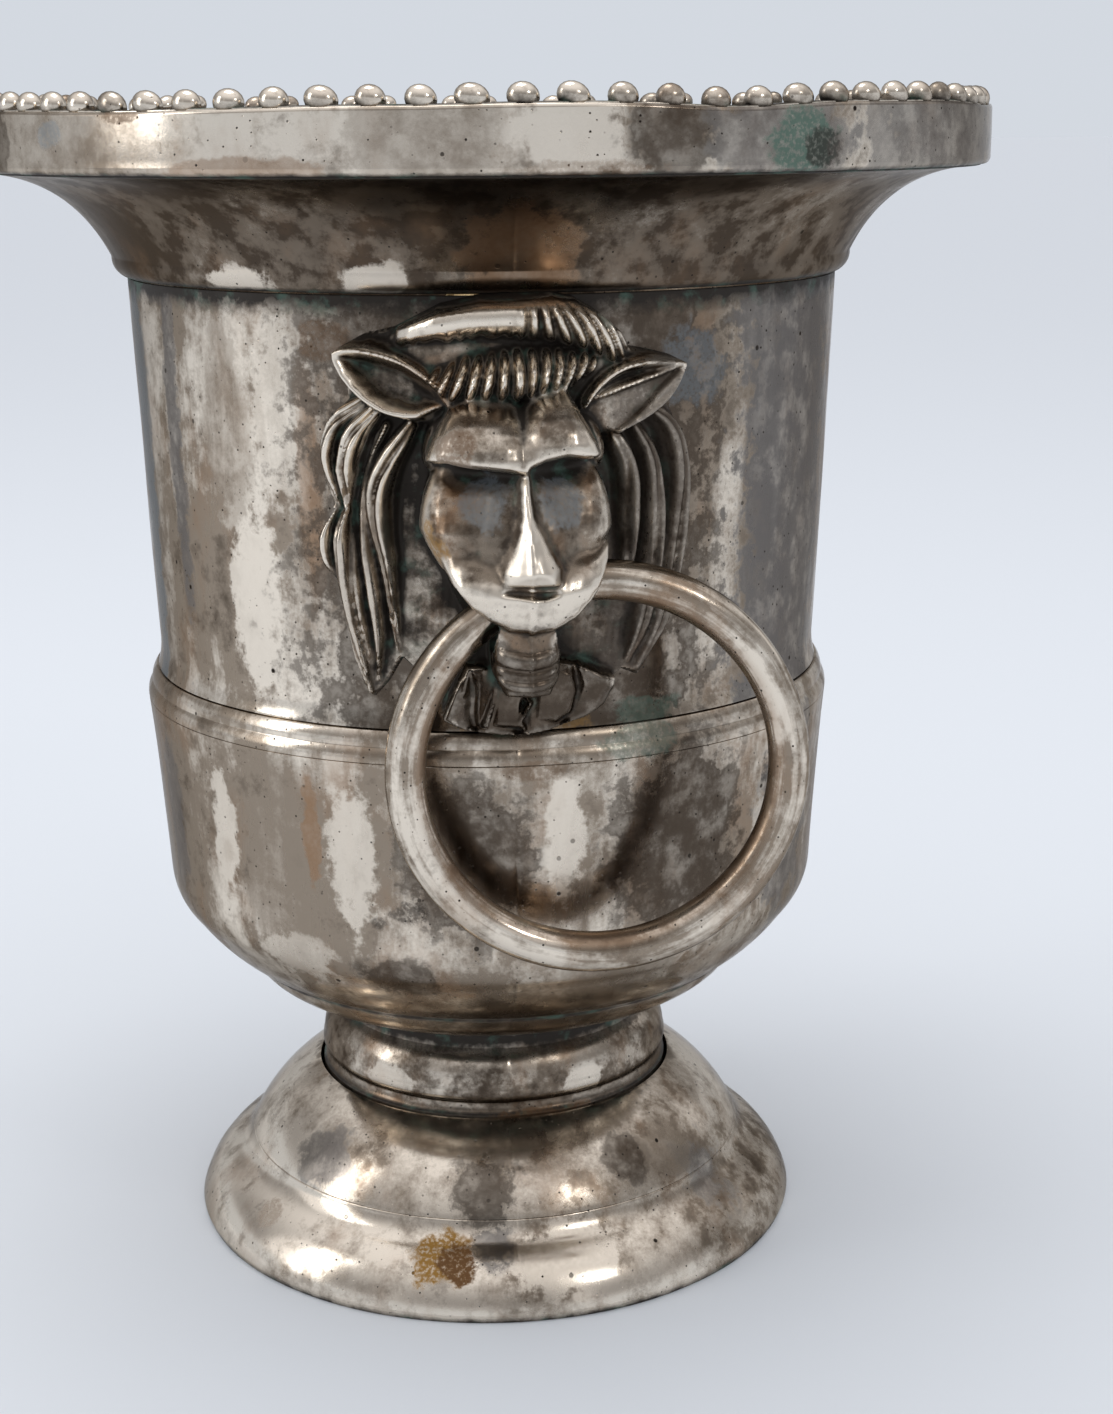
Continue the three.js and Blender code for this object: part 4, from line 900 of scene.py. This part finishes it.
    # Hair roll across the top: rubbed smooth and ragged on the left, ribbed on the right
    ridge_line = np.interp(across, [-18, -13.4, -7.4, -1, 5, 10.5, 14.8, 18],
                           [72.6, 74.9, 76.2, 76.6, 76.2, 74.4, 71.6, 68.4])
    crest = np.interp(across, [-19, -16, -12, -6, 0, 6, 11, 15, 18.4],
                      [6.0, 9.6, 12.2, 13.8, 14.4, 14.2, 13.2, 11.0, 6.0])
    over = np.clip((up - ridge_line) / 4.4, 0, 1.5)
    low_edge = np.interp(across, [-18, -12.7, -9.4, -5, 0, 5, 11, 15, 18],
                         [2.2, 3.6, 4.2, 4.2, 4.6, 4.8, 4.8, 4.2, 2.4])
    beneath = np.clip((ridge_line - up) / low_edge, 0, 1.5)
    roll = crest * np.sqrt(np.clip(1 - 0.62 * over ** 2, 0, 1)) * np.clip(1 - beneath ** 2.2, 0, 1) ** 0.42
    ribs = np.abs(np.sin(math.pi * (across + 0.42 * (up - 75) * step(across, 1, 8) - 1.3) / 2.0))
    nicks = np.abs(np.sin(math.pi * (across - 0.25 * (up - 74)) / 2.3 + 0.8 * np.sin(0.8 * across)))
    right = step(across, 0.9, 1.6)
    torn = 3.4 * (1 - nicks) ** 1.1 * step(beneath, 0.35, 1.0)
    roll = roll - right * 3.0 * (1 - ribs ** 0.7) - (1 - right) * torn
    relief = np.where((beneath < 1) & (across > -18.6) & (across < 18.2), np.maximum(relief, roll), relief)

    # Ears: pointed leaves, each a raised rim round a hollow
    left_ear = [(-9.0, 60.2), (-11.6, 66.0), (-15.0, 69.6), (-19.0, 71.6), (-23.0, 72.4), (-26.6, 71.9),
                (-28.9, 70.5), (-28.0, 67.4), (-26.0, 64.2), (-23.6, 61.6), (-20.4, 59.3), (-16.2, 57.8),
                (-12, 58)]
    right_ear = [(9.0, 59.6), (11.0, 64.6), (13.6, 67.8), (17.6, 69.4), (22.6, 69.5), (27.8, 68.0),
                 (26.6, 64.6), (24.2, 60.8), (20.8, 58.0), (16.0, 54.8), (12, 56)]
    for ear, rim, low in (
        (left_ear,
         [(-9.9, 61.4), (-11.6, 64.3), (-13.8, 66.6), (-16.8, 68.7), (-20.2, 70.0), (-23.6, 70.7),
          (-26.4, 70.7), (-28.3, 70.0)],
         [(-28.2, 69.8), (-27.0, 67.0), (-25.2, 64.4), (-22.9, 62.1), (-20.4, 60.4), (-17.4, 59.3),
          (-15.0, 59.1)]),
        (right_ear,
         [(9.8, 60.8), (11.6, 63.6), (13.8, 65.8), (16.4, 67.3), (20.0, 68.0), (23.8, 67.8), (27.2, 67.4)],
         [(27.2, 67.0), (25.6, 63.8), (23.6, 61.2), (20.8, 58.9), (16.4, 56.0)]),
    ):
        relief = np.maximum(relief, pillow(ear, 7.2, 2.2, 3.6))
        inward = outline_distance(rim + low[::-1] if ear is right_ear else rim + low)
        bowl = 9.0 - 4.6 * step(inward, 0.2, 3.2)
        relief = np.where(inward > 0, bowl, relief)
        relief = np.maximum(relief, rod(flowing(rim), [0.9, 1.1, 1.2, 1.2, 1.1, 0.9],
                                        [12.2, 11.4, 10.8, 10.2, 9.6, 9.0], 2))
        relief = np.maximum(relief, rod(flowing(low), [0.8, 1.0, 1.15, 1.1, 0.8],
                                        [9.0, 9.4, 9.6, 9.6, 8.6], 2))

    relief = softened(relief, 0.24)
    relief = relief + 0.45 * np.exp(-((across - MOULD_SEAM + 0.010 * (up - 40)) / 0.36) ** 2)
    relief = relief + 0.05 * np.sin(2.1 * across + 1.3 * up) * np.sin(1.7 * up - 2.3 * across + 1)

    edge = outline_distance(MASK_EDGE)
    inward = np.clip(edge, 0, None)
    return np.minimum(relief, 0.6 + 4.5 * np.sqrt(inward) + 3.0 * inward ** 2), edge


relief, edge = mask_relief()
# Darkening of the mask: grime and painted shade in its creases and on its low ground, a painted shadow in the
# eye hollows under the brows, and a painted darker reflection on the tops of the brows.
near_rise, far_rise = relief - softened(relief, 0.7), relief - softened(relief, 2.2)
mask_dirt_and_shade = -0.85 * near_rise - 0.16 * far_rise + 0.30 * step(-relief, -5.6, -1.8)
mask_dirt_and_shade = mask_dirt_and_shade + 0.5 * (hollow(-6.2, 49.0, 5.6, 2.4) + hollow(6.2, 49.6, 5.0, 2.4))
mask_dirt_and_shade = mask_dirt_and_shade + 0.12 * hollow(0, 57, 12, 4)
mask_dirt_and_shade = np.clip(mask_dirt_and_shade, 0, 1)
# Brightening of the mask: rubbed wear with painted highlights on its ridges and high places, and a painted
# highlight on the left of the hair roll.
mask_wear_and_highlight = near_rise + 0.14 * far_rise + 0.75 * step(relief, 22, 25) + 0.45 * hollow(-7, 75.5, 10, 3.4)


def laid_on_drum(u, v, lift):
    """Flat places across and up the mask, laid round the drum facing -Y."""
    height = MASK_BOTTOM + v
    radius = drum_radius(height) + lift
    return np.stack([radius * np.sin(u / WRAP_RADIUS), -radius * np.cos(u / WRAP_RADIUS), height], -1)


def border_edges(quads):
    """Directed edges that only one quad has."""
    seen = {}
    for quad in quads.tolist():
        for a, b in zip(quad, quad[1:] + quad[:1]):
            if (b, a) in seen:
                del seen[(b, a)]
            else:
                seen[(a, b)] = True
    return list(seen)


def mask_casting(name):
    """The relief as a closed casting: front, back and edge, without the ring's eye, which cut_eye cuts."""
    inside = edge > 0
    cells = inside[:-1, :-1] & inside[1:, :-1] & inside[1:, 1:] & inside[:-1, 1:]
    touching = np.zeros(across.shape, int)
    for i, j in ((0, 0), (1, 0), (1, 1), (0, 1)):
        touching[i:touching.shape[0] - 1 + i, j:touching.shape[1] - 1 + j] += cells
    used = touching > 0
    border = used & (touching < 4)
    u, v = across.copy(), up.copy()
    slope_u, slope_v = np.gradient(edge, GRID)
    steep = np.maximum(np.hypot(slope_u, slope_v), 0.3)
    u[border] -= (edge * slope_u / steep ** 2)[border]
    v[border] -= (edge * slope_v / steep ** 2)[border]
    number = np.full(across.shape, -1)
    number[used] = np.arange(used.sum())
    lift = np.where(border, 0.5, relief)
    front = laid_on_drum(u[used], v[used], lift[used])
    back = laid_on_drum(u[used], v[used], np.full(used.sum(), 0.06))
    count = len(front)
    i, j = np.nonzero(cells)
    quads = np.stack([number[i, j], number[i + 1, j], number[i + 1, j + 1], number[i, j + 1]], 1)
    faces = [tuple(q) for q in quads.tolist()] + [tuple(q[::-1]) for q in (quads + count).tolist()]
    faces += [(b, a, a + count, b + count) for a, b in border_edges(quads)]
    return finished_mesh(name, np.concatenate([front, back]), faces, 180)


def cut_eye(made):
    """Cuts the ring's channel level behind the chin, and clears the jaw for the lifted ring."""
    hinge = Vector((0, -EYE_OUT, MASK_BOTTOM + EYE_UP)) * MM
    bpy.ops.mesh.primitive_cylinder_add(vertices=64, radius=EYE_RADIUS * MM, depth=EYE_WIDTH * MM,
                                        location=hinge, rotation=(0, math.pi / 2, 0))
    cutters = [bpy.context.object]
    for body, way in (("front_ring", 1), ("back_ring", -1)):
        low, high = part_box(f"{body}_handle")
        middle = (low + high) / 2
        hanging = Matrix.Translation(Vector((way * middle.x, way * middle.y, middle.z)) - hinge)
        for lifted in LIFTED:
            bpy.ops.mesh.primitive_torus_add(major_segments=96, minor_segments=24, major_radius=RING * MM,
                                             minor_radius=(WIRE + WIRE_PLAY) * MM)
            swung = Matrix.Rotation(math.radians(-lifted), 4, "X")
            upright = Matrix.Rotation(math.pi / 2, 4, "X")
            bpy.context.object.matrix_world = Matrix.Translation(hinge) @ swung @ hanging @ upright
            cutters.append(bpy.context.object)
    for cutter in cutters:
        modifier = made.modifiers.new("cut", "BOOLEAN")
        modifier.operation = "DIFFERENCE"
        modifier.solver = "MANIFOLD"
        modifier.object = cutter
    graph = bpy.context.evaluated_depsgraph_get()
    mesh = bpy.data.meshes.new_from_object(made.evaluated_get(graph))
    made.modifiers.clear()
    mesh.materials.clear()
    mesh.polygons.foreach_set("material_index", np.zeros(len(mesh.polygons), np.int32))
    made.data = mesh
    for cutter in cutters:
        bpy.data.objects.remove(cutter)


front_mask = mask_casting("front_mask")
cut_eye(front_mask)
mask_mesh = front_mask.data
mask_mesh.shade_smooth()
mask_mesh.set_sharp_from_angle(angle=math.radians(62))
mask_points = points_of(front_mask)
flat_u = np.arctan2(mask_points[:, 0], -mask_points[:, 1]) * WRAP_RADIUS
column = np.clip(np.rint((flat_u - ACROSS[0]) / GRID).astype(int), 0, len(ACROSS) - 1)
row = np.clip(np.rint((mask_points[:, 2] - MASK_BOTTOM - UP[0]) / GRID).astype(int), 0, len(UP) - 1)
point_dirt_and_shade = mask_dirt_and_shade[column, row]
# Inside the ring's eye the mask is painted dark as shade.
from_eye = np.hypot(mask_points[:, 1] + EYE_OUT, mask_points[:, 2] - MASK_BOTTOM - EYE_UP)
in_eye = (from_eye < EYE_RADIUS + 0.1) & (np.abs(mask_points[:, 0]) < EYE_WIDTH / 2 + 0.2)
point_dirt_and_shade = np.where(in_eye, 0.9, point_dirt_and_shade)
keep_share(front_mask, "grime_and_shade", point_dirt_and_shade)
keep_share(front_mask, "rubbed_and_highlit", np.where(in_eye, 0, mask_wear_and_highlight[column, row]))
# The smoked patch and dark stain on the mask's right side are painted shade, and the bluish stains in the eye
# hollows are a painted shadow under the brows.
mask_plate = silver_plate(
    "mask_plate", tarnish=0.5, smoke_and_shade=0.5, streaks=0.1, pits=0.8, brown=0.5, rubbed_and_highlit=1.0,
    patches_and_painted_light=[
        (COPPERY, (-14, -80, 190), 8.0, 0.8, 0.4), (SMOKED_AND_SHADED, (26, -70, 162), 15.0, 3, 0.6),
        (SMOKED_AND_SHADED, (3, -82, 132), 27.0, 0.75, 0.92), (DULLED_AND_SHADED, (-27, -72, 150), 10.0, 3, 0.4),
    ], stains=[
        (DUSTED_AND_SHADED, (26, -72, 160), 16.0, 3, 0.5), (GOLDEN, (-14, -84, 163), 4.5, 1.3, 0.8),
        (RUSTY_AND_SHADED, (-11, -90, 179), 4.5, 1, 0.7), (BLUISH, (-6, -88, 170), 6.0, 1, 0.5),
        (BLUISH, (7, -88, 170), 6.0, 1.2, 0.55), (VERDIGRIS, (17, -78, 200), 3.0, 0.7, 0.6),
    ])
fitted(front_mask, mask_plate, "vessel", "front_handle_mask")

back_mask = placed("back_mask", front_mask.data.copy())
turned_round = mask_points * (-1, -1, 1)
back_mask.data.vertices.foreach_set("co", (turned_round * MM).reshape(-1).astype(np.float32))
back_mask.data.update()
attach(back_mask, "vessel")
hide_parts("back_handle_mask")


# Mask fasteners: two brass studs with a washer and a nut behind each mask, inside the drum. They
# show from above, so the studs are threaded and the nuts are chamfered.
STUD_RADIUS = 2.4
STUD_HOLE = 2.7


def facing(made, side, height):
    """Lays a piece made on the vertical axis along Y, pointing out through the drum's wall."""
    points = points_of(made)
    laid = np.stack([points[:, 0] * side, -points[:, 2] * side, points[:, 1] + height], 1)
    made.data.vertices.foreach_set("co", (laid * MM).reshape(-1).astype(np.float32))
    made.data.update()


def threaded_stud(name, start, end):
    """A stud with a chamfered, threaded inner end and a plain shank."""
    section = [(0.01, start), (2.0, start), (STUD_RADIUS, start + 0.5)]
    for crest in np.arange(start + 1, start + 7.4, 0.7):
        section += [(STUD_RADIUS, crest), (2.1, crest + 0.35)]
    return bored(name, section + [(STUD_RADIUS, start + 8.2), (STUD_RADIUS, end), (0.01, end)], 32)


for side, place_name in ((1, "front"), (-1, "back")):
    for level in ("upper", "lower"):
        for kind in ("stud", "washer", "nut"):
            low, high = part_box(f"{place_name}_{level}_mask_{kind}")
            near, far = sorted((abs(low.y) / MM, abs(high.y) / MM))
            name = f"{place_name}_{level}_{kind}"
            if kind == "stud":
                middle = (low.z + high.z) / 2 / MM
                fastener = threaded_stud(name, near, far)
            elif kind == "washer":
                fastener = washer(name, 5.4, STUD_HOLE, near, far)
            else:
                fastener = hex_nut(name, 8, STUD_HOLE, near, far)
            facing(fastener, side, middle)
            fitted(fastener, aged_brass, "vessel", f"{place_name}_{level}_mask_{kind}")


# Ring handles: round plated wire bent into a ring and soldered shut, hanging loose in the eye.
# Worn a little out of round, browned on its inner side, and painted darker with shade on its inner side
# and towards the drum.
def ring_handle(name, centre, eye_height):
    """The wire bent round its centre, shut inside the eye, with its finish's shares and layout."""
    closing = math.atan2(eye_height - centre[2], -centre[0])
    turn, spin = np.meshgrid(np.linspace(0, 2 * math.pi, 220, endpoint=False),
                             np.linspace(0, 2 * math.pi, 32, endpoint=False), indexing="ij")
    thick = WIRE * (1 - 0.012 * np.sin(3 * turn + 1) - 0.012 * np.sin(7 * turn)
                    - 0.02 * np.cos(2 * spin + turn))
    out = RING + thick * np.cos(spin)
    points = np.stack([centre[0] + out * np.cos(turn + closing), centre[1] + thick * np.sin(spin),
                       centre[2] + out * np.sin(turn + closing)], -1).reshape(-1, 3)
    steps, around = turn.shape
    faces = []
    for i in range(steps):
        a, b = i * around, (i + 1) % steps * around
        faces += [(a + k, a + (k + 1) % around, b + (k + 1) % around, b + k) for k in range(around)]
    made = finished_mesh(name, points, faces)
    inner, outward = step(-np.cos(spin), 0.1, 0.9), step(np.sin(spin) * np.sign(centre[1]), -0.9, 0.2)
    keep_share(made, "grime_and_shade", (0.22 * step(inner, 0.6, 1)).reshape(-1))
    keep_share(made, "browned_and_shaded", (0.6 * np.maximum(inner, 1 - outward)).reshape(-1))
    layout = np.stack([WIRE * np.cos(spin), WIRE * np.sin(spin), RING * turn / 14], -1) * MM
    layer = made.data.attributes.new("drawn", "FLOAT_VECTOR", "POINT")
    layer.data.foreach_set("vector", layout.reshape(-1).astype(np.float32))
    return made


ring_plate = silver_plate("ring_plate", tarnish=-0.2, streaks=0.9, pits=1.0, brown=0.45, drawn=True)
for body in ("front_ring", "back_ring"):
    low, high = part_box(f"{body}_handle")
    centre = [float(c) / MM for c in (low + high) / 2]
    ring = ring_handle(f"{body}_wire", centre, MASK_BOTTOM + EYE_UP)
    fitted(ring, ring_plate, body, f"{body}_handle")


# Studio: a pale floor under a plain pale room with soft panels above eye level, a tall soft light on
# the left, a small one on the right and a broad one overhead. Camera, mirrored and transmitted rays
# all see the same room.
FLOOR_REACH = 30
floor_mesh = bpy.data.meshes.new("studio_floor")
floor_corners = [(x * FLOOR_REACH, y * FLOOR_REACH, 0) for x, y in ((-1, -1), (1, -1), (1, 1), (-1, 1))]
floor_mesh.from_pydata(floor_corners, [], [(0, 1, 2, 3)])
studio_floor = placed("studio_floor", floor_mesh)
floor_paint, _, floor_shader = bare_finish("floor_paint")
floor_shader.inputs["Roughness"].default_value = 0.9
floor_shader.inputs["Specular IOR Level"].default_value = 0.1
floor_shader.inputs["Base Color"].default_value = (0.72, 0.75, 0.79, 1)
floor_mesh.materials.append(floor_paint)
BACKDROP = (0.655, 0.693, 0.75, 1)
# Soft panels of the room: bearing from the front and half width in degrees, and strength
PANELS = ((-92, 15, 1.0), (-44, 8, 0.5), (25, 8, 0.65), (116, 14, 0.7), (196, 10, 0.6), (-140, 9, 0.5))
LIGHT_AIM = (0, 0, 0.13)

world = bpy.data.worlds.new("pale_room")
bpy.context.scene.world = world
world.use_nodes = True
room = world.node_tree
room_light = room.nodes["Background"]
direction = add(room, "TexCoord").outputs["Generated"]
axes = add(room, "SeparateXYZ", {0: direction}).outputs
level_way = add(room, "CombineXYZ", {0: axes[0], 1: axes[1]}).outputs[0]
level_way = add(room, "VectorMath", {0: level_way}, operation="NORMALIZE").outputs[0]
glow = calc(room, "MAXIMUM", ramp(room, axes[2], 0.02, 0.3, 0.69, 0.34),
            ramp(room, axes[2], 0.3, 0.95, 0.34, 1.0))
for bearing, half_width, strength in PANELS:
    way = (math.sin(math.radians(bearing)), -math.cos(math.radians(bearing)), 0)
    toward = add(room, "VectorMath", {0: level_way, 1: way}, operation="DOT_PRODUCT").outputs["Value"]
    rim, core = math.cos(math.radians(half_width)), math.cos(math.radians(0.55 * half_width))
    panel = ramp(room, toward, rim, core, 0, strength)
    panel = calc(room, "MULTIPLY", panel, ramp(room, axes[2], 0.55, 0.85, 1, 0.4))
    glow = calc(room, "MAXIMUM", glow, panel)
rays = add(room, "LightPath").outputs
around = add(room, "CombineColor", {0: glow, 1: glow, 2: calc(room, "MULTIPLY", glow, 1.03)}).outputs[0]
around = blended(room, ramp(room, axes[2], 0.14, 0.24, 1, 0), around, BACKDROP)
seen = calc(room, "MAXIMUM", rays["Is Camera Ray"], rays["Is Glossy Ray"], rays["Is Transmission Ray"])
room.links.new(blended(room, seen, (0.91, 0.92, 0.95, 1), around), room_light.inputs["Color"])
room_light.inputs["Strength"].default_value = 1.0


def soft_light(name, place, size, power):
    lamp = bpy.data.lights.new(name, "AREA")
    lamp.shape = "RECTANGLE"
    lamp.size, lamp.size_y = size
    lamp.energy = power
    holder = placed(name, lamp)
    holder.location = place
    holder.rotation_euler = (Vector(LIGHT_AIM) - Vector(place)).to_track_quat("-Z", "Y").to_euler()


soft_light("left_soft_light", (-1.3, -0.25, 0.65), (0.35, 0.9), 2.9)
soft_light("right_soft_light", (0.75, -1.0, 0.95), (0.22, 0.22), 1.3)
soft_light("top_soft_light", (-0.1, 0.1, 1.5), (0.7, 0.7), 3.9)


# Camera: where the photograph was taken from, at the height of the rim and left of the middle, looking
# down at the mask.
CAMERA_REACH = 0.4744
CAMERA_HEIGHT = 0.2332
LENS_LENGTH = 57.6
azimuth, aim, pitch, roll = (math.radians(a) for a in (4.0, 1.76, 14.48, -0.43))
camera_data = bpy.data.cameras.new("photo_camera")
camera_data.sensor_fit = "AUTO"
camera_data.sensor_width = 36
camera_data.lens = LENS_LENGTH
camera_data.clip_start = 0.01
camera = placed("photo_camera", camera_data)
camera.location = (-CAMERA_REACH * math.sin(azimuth), -CAMERA_REACH * math.cos(azimuth), CAMERA_HEIGHT)


def to_object(vector):
    """A direction of the camera's own layout turned into the object's frame."""
    x, y, z = vector
    return Vector((x * math.cos(azimuth) + y * math.sin(azimuth),
                   -x * math.sin(azimuth) + y * math.cos(azimuth), z))


forward = to_object((math.sin(aim) * math.cos(pitch), math.cos(aim) * math.cos(pitch), -math.sin(pitch)))
level_right = to_object((math.cos(aim), -math.sin(aim), 0))
level_up = to_object((math.sin(aim) * math.sin(pitch), math.cos(aim) * math.sin(pitch), math.cos(pitch)))
right = math.cos(roll) * level_right + math.sin(roll) * level_up
upward = right.cross(forward)
camera.rotation_euler = Matrix((right, upward, -forward)).transposed().to_euler()
bpy.context.scene.camera = camera
bpy.context.scene.view_settings.view_transform = "Standard"
